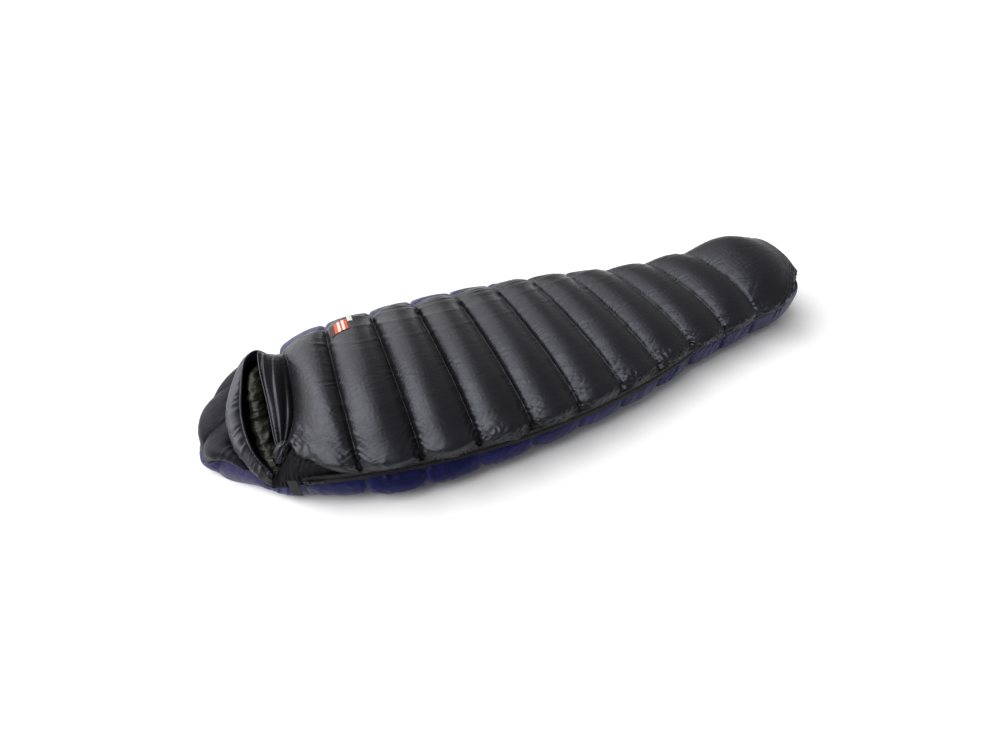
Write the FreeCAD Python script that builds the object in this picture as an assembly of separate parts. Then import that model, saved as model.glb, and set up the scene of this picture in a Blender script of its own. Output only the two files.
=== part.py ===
"""A down-filled mummy sleeping bag lying on its back, empty and lofted, for winter camping.

Millimetres. +X runs from the hood to the foot, +Z is up, the floor is z = 0. The sleeper's right side,
with the zip, faces -Y. Every chamber is a closed pocket of fabric and down between two sewn seams.
"""
import FreeCAD, Part
import math
import os

# Plan of the near and far sides: an arc along the zip, then a taper to the foot.
ZIP_RADIUS = 1950.0
ZIP_MIDDLE_X = -190.0
WIDEST = 389.0
ZIP_HEAD_X = -769.0
ZIP_FOOT_X = 460.0
LEG_WIDTHS = [(460.0, 277.5), (607.0, 250.0), (762.0, 222.0), (900.0, 195.0), (1000.0, 167.0)]
NECK_WIDTHS = [(-826.0, 268.0), (-800.0, 285.0), (-769.0, 301.0)]

# Sewn seams across the bag, and the height of the top quilt in the valley of each.
FIRST_SEAM_X = -770.0
SECOND_SEAM_X = -628.0
SEAM_PITCH = 154.4
FOOT_SEAM_X = 1000.0
CHIN_EDGE_X = -826.0
VALLEY_HEIGHTS = [(CHIN_EDGE_X, 236.0), (FIRST_SEAM_X, 206.0), (-628.0, 208.0), (-473.6, 195.0),
                  (-319.2, 181.0), (-164.8, 170.0), (-10.4, 161.0), (144.0, 154.0), (298.4, 151.0),
                  (452.8, 155.0), (607.2, 165.0), (761.6, 184.0), (FOOT_SEAM_X, 206.0)]
NECK_TILT = [(CHIN_EDGE_X, 0.16), (FIRST_SEAM_X, 0.14), (-628.0, 0.05), (-473.6, 0.0), (FOOT_SEAM_X, 0.0)]

# Cross-section: fullest at the height of the zip, domed above it and squarer below it.
ZIP_Z = 100.0
DOME_POWER = 2.27
BELLY_POWER = 4.0
ZIP_GAP = 17.0
FAR_SEAM_TURN = [(CHIN_EDGE_X, 0.90), (-628.0, 0.97), (-164.8, 0.95), (144.0, 0.70), (452.8, 0.42),
                 (761.6, 0.28), (FOOT_SEAM_X, 0.28)]
FAR_SEAM_GAP = 0.004

# Loft of the chambers.
TOP_WALL = 12.0
TOP_PUFF = 32.0
CHIN_PUFF = 16.0
BELLY_WALL = 8.0
BELLY_PUFF = 11.0
BELLY_SEAM_LIFT = 5.0
SIDE_SHARE = 0.45
PUFF_POWER = 0.6
PUFF_STEPS = (0.0, 0.08, 0.22, 0.5, 0.78, 0.92, 1.0)
EDGE_FADE = 0.30
SEAM_GAP = 0.5
DOME_POINTS = 15
BELLY_POINTS = 21
NECK_SIDE_POINTS = 9
LINING_GAP = 1.2
LINING_THICK = 1.4
LINING_SEAM_TURN = 0.04

# Hood: distance along the bag, sideways lean, half width, lowest and highest point of each closed section.
HOOD_SECTIONS = [(-770.5, 0.0, 298.0, 0.0, 168.0), (-826.0, 0.0, 270.0, 0.0, 168.0),
                 (-870.0, 12.0, 246.0, 0.0, 172.0), (-915.0, 30.0, 222.0, 0.0, 166.0),
                 (-960.0, 50.0, 190.0, 0.0, 150.0), (-1000.0, 72.0, 140.0, 6.0, 122.0),
                 (-1030.5, 88.0, 72.0, 30.0, 90.0)]
HOOD_WALL = 22.0
HOOD_FLOOR_WALL = 14.0
HOOD_FLAT = 6.0
HOOD_SEAM_Z = 76.0
NECK_SIDE_GAP = 22.5
RIM_FRONT_X = -880.0
RIM_BACK_X = -920.0
HOOD_CAVITY_END_X = -978.0

# Foot end panel: a padded disc closing the foot box.
FOOT_PANEL_INSET = 6.0
FOOT_PANEL_THICK = 22.0

# Draft collar inside the neck and draft tube behind the zip.
COLLAR_X = (-806.0, -752.0)
COLLAR_DEPTH = 30.0
COLLAR_GAP = 1.0
COLLAR_TURNS = (2.60, 0.62)
TUBE_HALF_THICK = 9.0
TUBE_HALF_HEIGHT = 20.0
TUBE_GAP = 3.0
TUBE_DROP = 24.0

# Zip: coil zip of size 8, its two tapes one above the other.
TAPE_THICK = 0.8
TAPE_FROM = 1.6
TAPE_TO = 16.5
COIL_FROM = 0.9
COIL_TO = 3.9
COIL_HALF_THICK = 1.5
SNAG_TAPE_FROM = 4.5
SNAG_TAPE_TO = 13.0
SNAG_TAPE_THICK = 1.0
STOP_LENGTH = 5.0
SLIDER_LENGTH = 15.0
SLIDER_HALF_WIDTH = 5.8
SLIDER_PLATE = 1.6
SLIDER_CLEAR = 0.4
SLIDER_FIN = 0.9
SLIDER_START_X = ZIP_HEAD_X + 15.0
PULL_LENGTH = 34.0
PULL_HALF_WIDTH = 4.2
PULL_THICK = 1.6
PULL_PIN_R = 1.1

# Tab that holds the head of the zip shut with hook and loop.
TAB_X = (-800.0, -774.0)
TAB_Z = (62.0, 121.0)
TAB_THICK = 2.0
TAB_TURN = -27.0
TAB_STAND_OFF = 9.0
PATCH_THICK = 1.4
PATCH_GAP = 0.4
PATCH_HEIGHT = 20.0
PATCH_MARGIN = 3.0

# Hood hem, its drawcord and the two cord locks.
HEM_OUTER_R = 5.0
HEM_INNER_R = 2.3
CORD_R = 1.6
RIM_ARC_MIDDLE_Y = 18.0
RIM_ARC_HALF_Y = 178.0
RIM_ARC_TOP_Z = 158.0
RIM_ARC_END_Z = 130.0
LOCK_PLACES = {"hood": (-842.0, -196.0, 84.0), "collar": (-786.0, -216.0, 58.0)}
LOCK_HALF = 7.5
LOCK_DEPTH_HALF = 5.5
LOCK_HEIGHT = 17.0
LOCK_WALL = 1.5
BUTTON_TOP = 5.0
BUTTON_IN = 6.0
BUTTON_CLEAR = 0.3
BUTTON_TRAVEL = 4.0
CORD_HOLE_Z = 8.6
CORD_HOLE_HALF = 2.0
CORD_HOLE_HEIGHT = 3.4
SPRING_WIRE_R = 0.45
SPRING_R = 2.6
SPRING_TURNS = 5

# Labels and the loops that hang the bag up by its foot.
LABEL_X = (-612.0, -554.0)
LABEL_Y = (110.0, 178.0)
LABEL_THICK = 1.2
LABEL_LIFT = 0.8
LOOP_Y = 95.0
LOOP_WIDTH = 15.0
LOOP_DROP = 34.0
LOOP_REACH = 8.0
LOOP_Z = 60.0
LOOP_THICK = 1.8

UP = FreeCAD.Vector(0, 0, 1)
BIG = 3000.0


def vec(x, y, z):
    return FreeCAD.Vector(x, y, z)


def power(value, exponent):
    """value to the exponent, keeping its sign."""
    return math.copysign(abs(value) ** exponent, value)


def smooth(table, x):
    """Smooth curve through the rows (x, value) of a table, level beyond its ends."""
    if x <= table[0][0]:
        return table[0][1]
    if x >= table[-1][0]:
        return table[-1][1]
    i = max(k for k in range(len(table) - 1) if table[k][0] <= x)

    def slope(k):
        a, b = table[max(k - 1, 0)], table[min(k + 1, len(table) - 1)]
        return (b[1] - a[1]) / (b[0] - a[0])

    (x0, y0), (x1, y1) = table[i], table[i + 1]
    span = x1 - x0
    s = (x - x0) / span
    rise = s * s * (3 - 2 * s)
    return (y0 * (1 - rise) + y1 * rise + span * slope(i) * s * (1 - s) ** 2
            - span * slope(i + 1) * s * s * (1 - s))


def half_width(x):
    if x < ZIP_HEAD_X:
        return smooth(NECK_WIDTHS, x)
    if x > ZIP_FOOT_X:
        return smooth(LEG_WIDTHS, x)
    return WIDEST - ZIP_RADIUS + math.sqrt(ZIP_RADIUS ** 2 - (x - ZIP_MIDDLE_X) ** 2)


def seams():
    """Every sewn line across the body, from the neck to the foot."""
    return [FIRST_SEAM_X] + [SECOND_SEAM_X + SEAM_PITCH * k for k in range(10)] + [FOOT_SEAM_X]


def section_point(x, turn, out):
    """Point of the cross-section at x, out millimetres outside the seam surface (inside it if negative).

    turn is 0 at the far side, pi/2 at the top, pi at the zip and -pi/2 underneath.
    """
    half = half_width(x) + (SIDE_SHARE * out if out > 0 else out)
    if math.sin(turn) >= 0:
        y = half * power(math.cos(turn), 2 / DOME_POWER)
        rise = smooth(VALLEY_HEIGHTS, x) + out - ZIP_Z
        z = ZIP_Z + rise * math.sin(turn) ** (2 / DOME_POWER) * (1 + smooth(NECK_TILT, x) * y / half)
    else:
        y = half * power(math.cos(turn), 2 / BELLY_POWER)
        z = ZIP_Z - (ZIP_Z + out) * abs(math.sin(turn)) ** (2 / BELLY_POWER)
    return vec(x, y, z)


def dome_turn(x, out, gap):
    """Turn at which the upper cross-section is gap above the zip line."""
    rise = smooth(VALLEY_HEIGHTS, x) + out - ZIP_Z
    return math.pi - math.asin((gap / rise) ** (DOME_POWER / 2))


def belly_turn(out, gap):
    """Turn at which the lower cross-section is gap below the zip line."""
    return -math.pi + math.asin((gap / (ZIP_Z + out)) ** (BELLY_POWER / 2))


def belly_side_turn(out):
    """Turn on the far side at which the lower cross-section reaches the top of the hood's base."""
    return -math.asin((NECK_SIDE_GAP / (ZIP_Z + out)) ** (BELLY_POWER / 2))


def spline(points):
    curve = Part.BSplineCurve()
    curve.interpolate(points)
    return curve.toShape()


def band(outer, inner):
    """Closed wire round the strip between two rows of points that run the same way."""
    back = inner[::-1]
    return Part.Wire([spline(outer), Part.makeLine(outer[-1], back[0]), spline(back),
                      Part.makeLine(back[-1], outer[0])])


def puff_row(x, turns, base, puff):
    """Row of points whose puff fades out towards both ends of the row."""
    low, high = min(turns), max(turns)
    row = []
    for turn in turns:
        edge = min(1.0, (turn - low) / EDGE_FADE, (high - turn) / EDGE_FADE)
        row.append(section_point(x, turn, base + puff * max(edge, 0.0) ** 0.5))
    return row


def spread(first, last, count):
    return [first + (last - first) * k / (count - 1) for k in range(count)]


def chamber(x0, x1, ends, base, puff, wall, count):
    """Down chamber between two seams; ends(x, out) gives the turns where it begins and stops."""
    wires = []
    for step, x in zip(PUFF_STEPS, chamber_stations(x0, x1)):
        rise = puff * math.sin(math.pi * step) ** PUFF_POWER
        outer = puff_row(x, spread(*ends(x, base), count), base, rise)
        inner = [section_point(x, turn, -wall) for turn in spread(*ends(x, -wall), count)]
        wires.append(band(outer, inner))
    return Part.makeLoft(wires, True, True)


def dome_ends(x, out):
    return dome_turn(x, out, ZIP_GAP), smooth(FAR_SEAM_TURN, x) + FAR_SEAM_GAP


def belly_ends(x, out):
    return smooth(FAR_SEAM_TURN, x) - FAR_SEAM_GAP, belly_turn(out, ZIP_GAP)


def box(x0, x1, y0, y1, z0, z1):
    return Part.makeBox(x1 - x0, y1 - y0, z1 - z0, vec(x0, y0, z0))


def above_floor(shape):
    return shape.cut(box(-BIG, BIG, -BIG, BIG, -BIG, 0.0))


def top_chambers():
    lines = seams()
    pieces = {}
    for k in range(len(lines) - 1):
        solid = chamber(lines[k], lines[k + 1], dome_ends, 0.0, TOP_PUFF, TOP_WALL, DOME_POINTS)
        pieces[f"top_chamber_{k + 1:02d}"] = solid
    return pieces


def belly_chambers():
    lines = seams()
    puff = BELLY_PUFF + BELLY_SEAM_LIFT
    pieces = {}
    for k in range(len(lines) - 1):
        solid = chamber(lines[k], lines[k + 1], belly_ends, -BELLY_SEAM_LIFT, puff, BELLY_WALL, BELLY_POINTS)
        pieces[f"bottom_chamber_{k + 1:02d}"] = above_floor(solid)
    return pieces


def neck_chambers():
    """Chamber over the chin and the one that closes the neck's far side, both standing on the hood's base."""
    def chin_ends(x, out):
        return math.pi - belly_side_turn(out), dome_ends(x, out)[1]

    def side_ends(x, out):
        return belly_ends(x, out)[0], belly_side_turn(out)

    span = (CHIN_EDGE_X, FIRST_SEAM_X)
    return {
        "chin_chamber": chamber(*span, chin_ends, 0.0, CHIN_PUFF, TOP_WALL, DOME_POINTS),
        "neck_side_chamber": chamber(*span, side_ends, 0.0, CHIN_PUFF, TOP_WALL, NECK_SIDE_POINTS),
    }


def chamber_stations(x0, x1):
    """Where the cross-sections of the chamber between the seams x0 and x1 stand."""
    return [x0 + SEAM_GAP + (x1 - x0 - 2 * SEAM_GAP) * step for step in PUFF_STEPS]


def skin(ends, depth, count):
    """Lining fabric that follows the inside of the chambers from the neck to the foot."""
    lines = seams()
    stations = []
    for k in range(len(lines) - 1):
        stations += [x for x in chamber_stations(lines[k], lines[k + 1]) if x > COLLAR_X[1]]
    near, far = -depth - LINING_GAP, -depth - LINING_GAP - LINING_THICK
    wires = []
    for x in [COLLAR_X[1] + 2.0] + stations[1:]:
        outer = [section_point(x, turn, near) for turn in spread(*ends(x, near), count)]
        inner = [section_point(x, turn, far) for turn in spread(*ends(x, far), count)]
        wires.append(band(outer, inner))
    return Part.makeLoft(wires, True, True)


def top_lining_ends(x, out):
    near, far = dome_ends(x, out)
    return near, far + LINING_SEAM_TURN


def bottom_lining_ends(x, out):
    far, near = belly_ends(x, out)
    return far - LINING_SEAM_TURN, near


def closed_section(x, lean, half, low, high):
    """Closed superellipse across the hood."""
    points = []
    for k in range(24):
        turn = 2 * math.pi * k / 24
        y = lean + half * power(math.cos(turn), 2 / DOME_POWER)
        z = (low + high) / 2 + (high - low) / 2 * power(math.sin(turn), 2 / DOME_POWER)
        points.append(vec(x, y, z))
    curve = Part.BSplineCurve()
    curve.interpolate(points, True)
    return Part.Wire([curve.toShape()])


def hood_body(side, floor, last_x):
    """Solid inside the hood's outer surface by side and floor millimetres, from the neck to last_x."""
    rows = []
    for axis in (1, 2, 3, 4):
        rows.append([(row[0], row[axis]) for row in HOOD_SECTIONS[::-1]])
    wires = []
    for x in [row[0] for row in HOOD_SECTIONS if row[0] > last_x] + [last_x]:
        lean, half, low, high = (smooth(row, x) for row in rows)
        wires.append(closed_section(x, lean, half - side, low - HOOD_FLAT + floor, high - side))
    return Part.makeLoft(wires, True, True)


def hood_pieces():
    outer = above_floor(hood_body(0.0, 0.0, HOOD_SECTIONS[-1][0]))
    shell = outer.cut(hood_body(HOOD_WALL, HOOD_FLOOR_WALL, HOOD_CAVITY_END_X))
    gap = SEAM_GAP
    lining = hood_body(HOOD_WALL + LINING_GAP, HOOD_FLOOR_WALL + LINING_GAP, HOOD_CAVITY_END_X + 1.0)
    depth = LINING_GAP + LINING_THICK
    lining = lining.cut(hood_body(HOOD_WALL + depth, HOOD_FLOOR_WALL + depth, HOOD_CAVITY_END_X + 4.0))
    open_top = box(RIM_FRONT_X, BIG, -BIG, BIG, HOOD_SEAM_Z - 8.0, BIG)
    neck_end = box(COLLAR_X[0] - 6.0, BIG, -BIG, BIG, -BIG, BIG)
    low = box(-BIG, BIG, -BIG, BIG, -1.0, HOOD_SEAM_Z)
    back = box(-BIG, RIM_BACK_X - gap, -BIG, BIG, HOOD_SEAM_Z + gap, BIG)
    front = box(RIM_BACK_X + gap, RIM_FRONT_X, -BIG, BIG, HOOD_SEAM_Z + gap, BIG)
    return {
        "hood_base": shell.common(low),
        "hood_crown": shell.common(back),
        "hood_rim_baffle": shell.common(front),
        "hood_lining": lining.cut(open_top).cut(neck_end),
    }


def foot_panel():
    """Padded end of the foot box, rounded towards its outside face."""
    x0 = FOOT_SEAM_X + SEAM_GAP
    wires = []
    for share, inset in ((0.0, 0.0), (0.45, 2.0), (0.8, 12.0), (1.0, 30.0)):
        points = []
        for k in range(28):
            turn = 2 * math.pi * k / 28
            point = section_point(FOOT_SEAM_X, turn if turn <= math.pi else turn - 2 * math.pi,
                                  -FOOT_PANEL_INSET - inset)
            points.append(vec(x0 + FOOT_PANEL_THICK * share, point.y, point.z))
        curve = Part.BSplineCurve()
        curve.interpolate(points, True)
        wires.append(Part.Wire([curve.toShape()]))
    return Part.makeLoft(wires, True, True)


def collar():
    """Padded arch under the chin that seals the neck."""
    wires = []
    start = TOP_WALL + COLLAR_GAP
    for share, thick in ((0.0, 0.45), (0.2, 0.85), (0.5, 1.0), (0.8, 0.85), (1.0, 0.45)):
        x = COLLAR_X[0] + (COLLAR_X[1] - COLLAR_X[0]) * share
        turns = spread(*COLLAR_TURNS, 11)
        outer = [section_point(x, turn, -start) for turn in turns]
        inner = [section_point(x, turn, -start - COLLAR_DEPTH * thick) for turn in turns]
        wires.append(band(outer, inner))
    return Part.makeLoft(wires, True, True)


def zip_centre():
    return vec(ZIP_MIDDLE_X, ZIP_RADIUS - WIDEST, 0)


def zip_angle(x):
    """Angle about the zip's centre of curvature, in degrees, that puts a thing at x."""
    return math.degrees(math.asin((x - ZIP_MIDDLE_X) / ZIP_RADIUS))


def along_zip(profile, x0, x1):
    """Sweep a profile, drawn in the plane x = ZIP_MIDDLE_X, along the zip from x0 to x1."""
    profile = profile.copy()
    profile.rotate(zip_centre(), UP, zip_angle(x0))
    return profile.revolve(zip_centre(), UP, zip_angle(x1) - zip_angle(x0))


def zip_profile(out0, out1, z0, z1):
    """Rectangle across the zip; out is measured outwards from the bag's side, z from the zip line."""
    y = -WIDEST
    corners = [vec(ZIP_MIDDLE_X, y - out0, ZIP_Z + z0), vec(ZIP_MIDDLE_X, y - out1, ZIP_Z + z0),
               vec(ZIP_MIDDLE_X, y - out1, ZIP_Z + z1), vec(ZIP_MIDDLE_X, y - out0, ZIP_Z + z1)]
    return Part.Face(Part.makePolygon(corners + corners[:1]))


def zip_place(shape, x):
    """Turn a shape drawn at x = ZIP_MIDDLE_X round to its place on the zip at x."""
    placed = shape.copy()
    placed.rotate(zip_centre(), UP, zip_angle(x))
    return placed


def zip_chain():
    """Tapes, coils and stops of the zip."""
    half = TAPE_THICK / 2
    pieces = {}
    for name, side in (("top", 1), ("bottom", -1)):
        tape = sorted((side * (COIL_TO + 0.1), side * TAPE_TO))
        coil = sorted((side * COIL_FROM, side * COIL_TO))
        pieces[f"zip_tape_{name}"] = along_zip(zip_profile(-half, half, *tape), ZIP_HEAD_X, ZIP_FOOT_X)
        pieces[f"zip_coil_{name}"] = along_zip(zip_profile(-COIL_HALF_THICK, COIL_HALF_THICK, *coil),
                                               ZIP_HEAD_X + STOP_LENGTH, ZIP_FOOT_X - STOP_LENGTH)
        stop = zip_profile(-COIL_HALF_THICK, COIL_HALF_THICK, *coil)
        pieces[f"zip_top_stop_{name}"] = along_zip(stop, ZIP_HEAD_X, ZIP_HEAD_X + STOP_LENGTH - 0.2)
    box_profile = zip_profile(-COIL_HALF_THICK, COIL_HALF_THICK, -COIL_TO, COIL_TO)
    pieces["zip_bottom_stop"] = along_zip(box_profile, ZIP_FOOT_X - STOP_LENGTH + 0.2, ZIP_FOOT_X)
    return pieces


def zip_strips():
    """Stiff tape that keeps the slider off the lining, and the padded tube behind the zip."""
    back = -COIL_HALF_THICK - SLIDER_CLEAR - SLIDER_PLATE - 1.2
    snag = zip_profile(back, back - SNAG_TAPE_THICK, SNAG_TAPE_FROM, SNAG_TAPE_TO)
    tube_y = -WIDEST + BELLY_WALL + LINING_GAP + LINING_THICK + TUBE_GAP + TUBE_HALF_THICK
    ellipse = Part.Ellipse(vec(0, 0, 0), TUBE_HALF_HEIGHT, TUBE_HALF_THICK).toShape()
    ellipse.rotate(vec(0, 0, 0), vec(0, 1, 0), 90)
    ellipse.translate(vec(ZIP_MIDDLE_X, tube_y, ZIP_Z - TUBE_DROP))
    tube = Part.Face(Part.Wire([ellipse]))
    return {
        "anti_snag_tape": along_zip(snag, COLLAR_X[1] + 4.0, ZIP_FOOT_X),
        "draft_tube": along_zip(tube, COLLAR_X[1] + 4.0, ZIP_FOOT_X),
    }


def leg_seam():
    """Bound seam that carries on from the end of the zip to the foot."""
    wires = []
    reach = ZIP_GAP - 0.6
    for x in spread(ZIP_FOOT_X + SEAM_GAP, FOOT_SEAM_X - SEAM_GAP, 6):
        y = -half_width(x)
        corners = [vec(x, y, ZIP_Z - reach), vec(x, y + 4.0, ZIP_Z - reach), vec(x, y + 4.0, ZIP_Z + reach),
                   vec(x, y, ZIP_Z + reach)]
        wires.append(Part.makePolygon(corners + corners[:1]))
    return Part.makeLoft(wires, True, True)


def zip_slider():
    """Slider: two plates joined by the divider that runs between the coils, and an ear for the pull."""
    x0, x1 = ZIP_MIDDLE_X - SLIDER_LENGTH / 2, ZIP_MIDDLE_X + SLIDER_LENGTH / 2
    inner = COIL_HALF_THICK + SLIDER_CLEAR
    outer = inner + SLIDER_PLATE
    low, high = ZIP_Z - SLIDER_HALF_WIDTH, ZIP_Z + SLIDER_HALF_WIDTH
    side = -WIDEST
    front = box(x0, x1, side - outer, side - inner, low, high)
    back = box(x0, x1, side + inner, side + outer, low, high)
    fin = box(x0 + 2.0, x0 + 7.0, side - inner, side + inner, ZIP_Z - SLIDER_FIN / 2, ZIP_Z + SLIDER_FIN / 2)
    pivot = slider_pivot()
    ear = box(pivot.x - 2.4, pivot.x + 2.4, pivot.y - 2.4, side - outer, ZIP_Z - 1.4, ZIP_Z + 1.4)
    hole = Part.makeCylinder(PULL_PIN_R + 0.25, 6.0, vec(pivot.x, pivot.y, ZIP_Z - 3.0), UP)
    return front.fuse([back, fin, ear]).cut(hole).removeSplitter()


def slider_pivot():
    """Axis of the pull tab, on a slider drawn at x = ZIP_MIDDLE_X."""
    return vec(ZIP_MIDDLE_X, -WIDEST - COIL_HALF_THICK - SLIDER_CLEAR - SLIDER_PLATE - 2.2, ZIP_Z)


def pull_tab():
    """Flat tab that hangs on a pin through the slider's ear."""
    x, y, z = slider_pivot()
    half, wide = PULL_THICK / 2, PULL_HALF_WIDTH
    pin = Part.makeCylinder(PULL_PIN_R, 2 * wide, vec(x, y, z - wide), UP)
    plate = box(x - 1.0, x + PULL_LENGTH, y - half, y + half, z - wide, z + wide)
    window = box(x - 4.0, x + 6.0, y - 4.0, y + 4.0, z - 2.0, z + 2.0)
    grip = box(x + PULL_LENGTH - 22.0, x + PULL_LENGTH - 6.0, y - 4.0, y + 4.0, z - 1.2, z + 1.2)
    return plate.cut(window).cut(grip).fuse(pin).removeSplitter()


def tab_place(shape):
    """Stand a shape, drawn about x = 0 with the bag's side at y = 0, at the head of the zip."""
    x = (TAB_X[0] + TAB_X[1]) / 2
    placed = shape.copy()
    placed.rotate(vec(0, 0, 0), UP, TAB_TURN)
    placed.translate(vec(x, -half_width(x), 0))
    return placed


def closing_tab():
    """Hook-and-loop tab across the head of the zip: the flap, its hook patch and the loop patch it grips."""
    half = (TAB_X[1] - TAB_X[0]) / 2
    low, high = TAB_Z
    patch = half - PATCH_MARGIN
    patch_z = (low + PATCH_MARGIN, low + PATCH_MARGIN + PATCH_HEIGHT)
    loop_y = -TAB_STAND_OFF
    hook_y = loop_y - PATCH_THICK - PATCH_GAP
    tab_y = hook_y - PATCH_THICK
    return {
        "closing_tab": tab_place(box(-half, half, tab_y - TAB_THICK, tab_y, low, high)),
        "closing_tab_hook": tab_place(box(-patch, patch, tab_y, hook_y, *patch_z)),
        "closing_tab_loop": tab_place(box(-patch, patch, loop_y - PATCH_THICK, loop_y, *patch_z)),
    }


def tab_hinge():
    """Point on the stitched upper edge of the tab, about which it lifts."""
    y = -TAB_STAND_OFF - 2 * PATCH_THICK - PATCH_GAP - TAB_THICK / 2
    return tab_place(Part.Vertex(0, y, TAB_Z[1])).Point


def disc(centre, radius):
    """Round face across the Y axis."""
    return Part.Face(Part.Wire([Part.Circle(centre, vec(0, 1, 0), radius).toShape()]))


def arch_tube(x, middle_y, half_y, top_z, end_z, radius, bore):
    """Round tube on an arc across the bag in the plane x; a bore of 0 makes it solid."""
    sagitta = top_z - end_z
    bend = (half_y ** 2 + sagitta ** 2) / (2 * sagitta)
    centre = vec(x, middle_y, top_z - bend)
    reach = math.degrees(math.asin(half_y / bend))
    ring = disc(vec(x, middle_y, top_z), radius)
    if bore:
        ring = ring.cut(disc(vec(x, middle_y, top_z), bore))
    ring.rotate(centre, vec(1, 0, 0), -reach)
    return ring.revolve(centre, vec(1, 0, 0), 2 * reach)


def hem_pieces():
    """Hem of the face opening on the hood side, with the cord that gathers it."""
    x = RIM_FRONT_X + HEM_OUTER_R + 0.3
    arc = (RIM_ARC_MIDDLE_Y, RIM_ARC_HALF_Y, RIM_ARC_TOP_Z, RIM_ARC_END_Z)
    return {
        "hood_hem": arch_tube(x, *arc, HEM_OUTER_R, HEM_INNER_R),
        "hood_drawcord": arch_tube(x, *arc, CORD_R, 0.0),
    }


def cord_lock(place):
    """Sprung cord lock: a hollow body, a button that drops into it, and the spring between them."""
    x, y, z = place
    body = box(x - LOCK_HALF, x + LOCK_HALF, y - LOCK_DEPTH_HALF, y + LOCK_DEPTH_HALF, z, z + LOCK_HEIGHT)
    body = body.makeFillet(2.0, body.Edges)
    room = box(x - LOCK_HALF + LOCK_WALL, x + LOCK_HALF - LOCK_WALL, y - LOCK_DEPTH_HALF + LOCK_WALL,
               y + LOCK_DEPTH_HALF - LOCK_WALL, z + LOCK_WALL, z + LOCK_HEIGHT + 1.0)
    holes = box(x - LOCK_HALF - 1, x + LOCK_HALF + 1, y - CORD_HOLE_HALF, y + CORD_HOLE_HALF, z + CORD_HOLE_Z,
                z + CORD_HOLE_Z + CORD_HOLE_HEIGHT)
    inset = LOCK_WALL + BUTTON_CLEAR
    button = box(x - LOCK_HALF + inset, x + LOCK_HALF - inset, y - LOCK_DEPTH_HALF + inset,
                 y + LOCK_DEPTH_HALF - inset, z + LOCK_HEIGHT - BUTTON_IN, z + LOCK_HEIGHT + BUTTON_TOP)
    rim = [edge for edge in button.Edges if edge.BoundBox.ZMin > z + LOCK_HEIGHT]
    button = button.makeFillet(1.0, rim).cut(holes.translated(vec(0, 0, BUTTON_TRAVEL)))
    low = z + LOCK_WALL + SPRING_WIRE_R + 0.1
    high = z + LOCK_HEIGHT - BUTTON_IN - SPRING_WIRE_R - 0.1
    helix = Part.makeHelix((high - low) / SPRING_TURNS, high - low, SPRING_R)
    wire = Part.Wire([Part.Circle(vec(SPRING_R, 0, 0), vec(0, 1, 0), SPRING_WIRE_R).toShape()])
    spring = Part.Wire(helix.Edges).makePipeShell([wire], True, True)
    spring.translate(vec(x, y, low))
    return body.cut(room).cut(holes), button, spring


def cord_locks():
    pieces = {}
    for name, place in LOCK_PLACES.items():
        body, button, spring = cord_lock(place)
        pieces[f"{name}_lock_body"] = body
        pieces[f"{name}_lock_button"] = button
        pieces[f"{name}_lock_spring"] = spring
    return pieces


def dome_z(x, y, out):
    """Height of the top quilt over the point (x, y), out millimetres outside the seam surface."""
    half = half_width(x) + SIDE_SHARE * out
    rise = smooth(VALLEY_HEIGHTS, x) + out - ZIP_Z
    share = (1 - (abs(y) / half) ** DOME_POWER) ** (1 / DOME_POWER)
    return ZIP_Z + rise * share * (1 + smooth(NECK_TILT, x) * y / half)


def labels():
    """Woven label sewn on the crown of a chamber, and the folded tab beside it."""
    sides = {}
    wires = []
    for x in spread(*LABEL_X, 3):
        under = [vec(x, y, dome_z(x, y, TOP_PUFF) + LABEL_LIFT) for y in spread(*LABEL_Y, 5)]
        over = [point + vec(0, 0, LABEL_THICK) for point in under]
        wires.append(band(under, over))
    sides["woven_label"] = Part.makeLoft(wires, True, True)
    x, y = LABEL_X[1] + 8.0, LABEL_Y[1] - 10.0
    z = dome_z(x, y, TOP_PUFF) + LABEL_LIFT
    sides["label_tab"] = box(x - 7.0, x + 9.0, y - 12.0, y + 12.0, z + 2.0, z + 2.0 + LABEL_THICK)
    return sides


def hang_loops():
    """Webbing loops sewn to the end panel, to hang the bag up by its foot."""
    loops = {}
    x = FOOT_SEAM_X + SEAM_GAP + FOOT_PANEL_THICK
    for name, side in (("left", 1), ("right", -1)):
        y = side * LOOP_Y
        z = LOOP_Z
        outer = box(x, x + LOOP_REACH, y - LOOP_WIDTH / 2, y + LOOP_WIDTH / 2, z, z + LOOP_DROP)
        along = [edge for edge in outer.Edges if edge.BoundBox.YLength > LOOP_WIDTH / 2]
        free = [edge for edge in along if edge.BoundBox.XMin > x + 1]
        outer = outer.makeFillet(LOOP_REACH * 0.45, free)
        inner = box(x - 1.0, x + LOOP_REACH - LOOP_THICK, y - LOOP_WIDTH, y + LOOP_WIDTH, z + LOOP_THICK,
                    z + LOOP_DROP - LOOP_THICK)
        loops[f"hang_loop_{name}"] = outer.cut(inner)
    return loops


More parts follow.
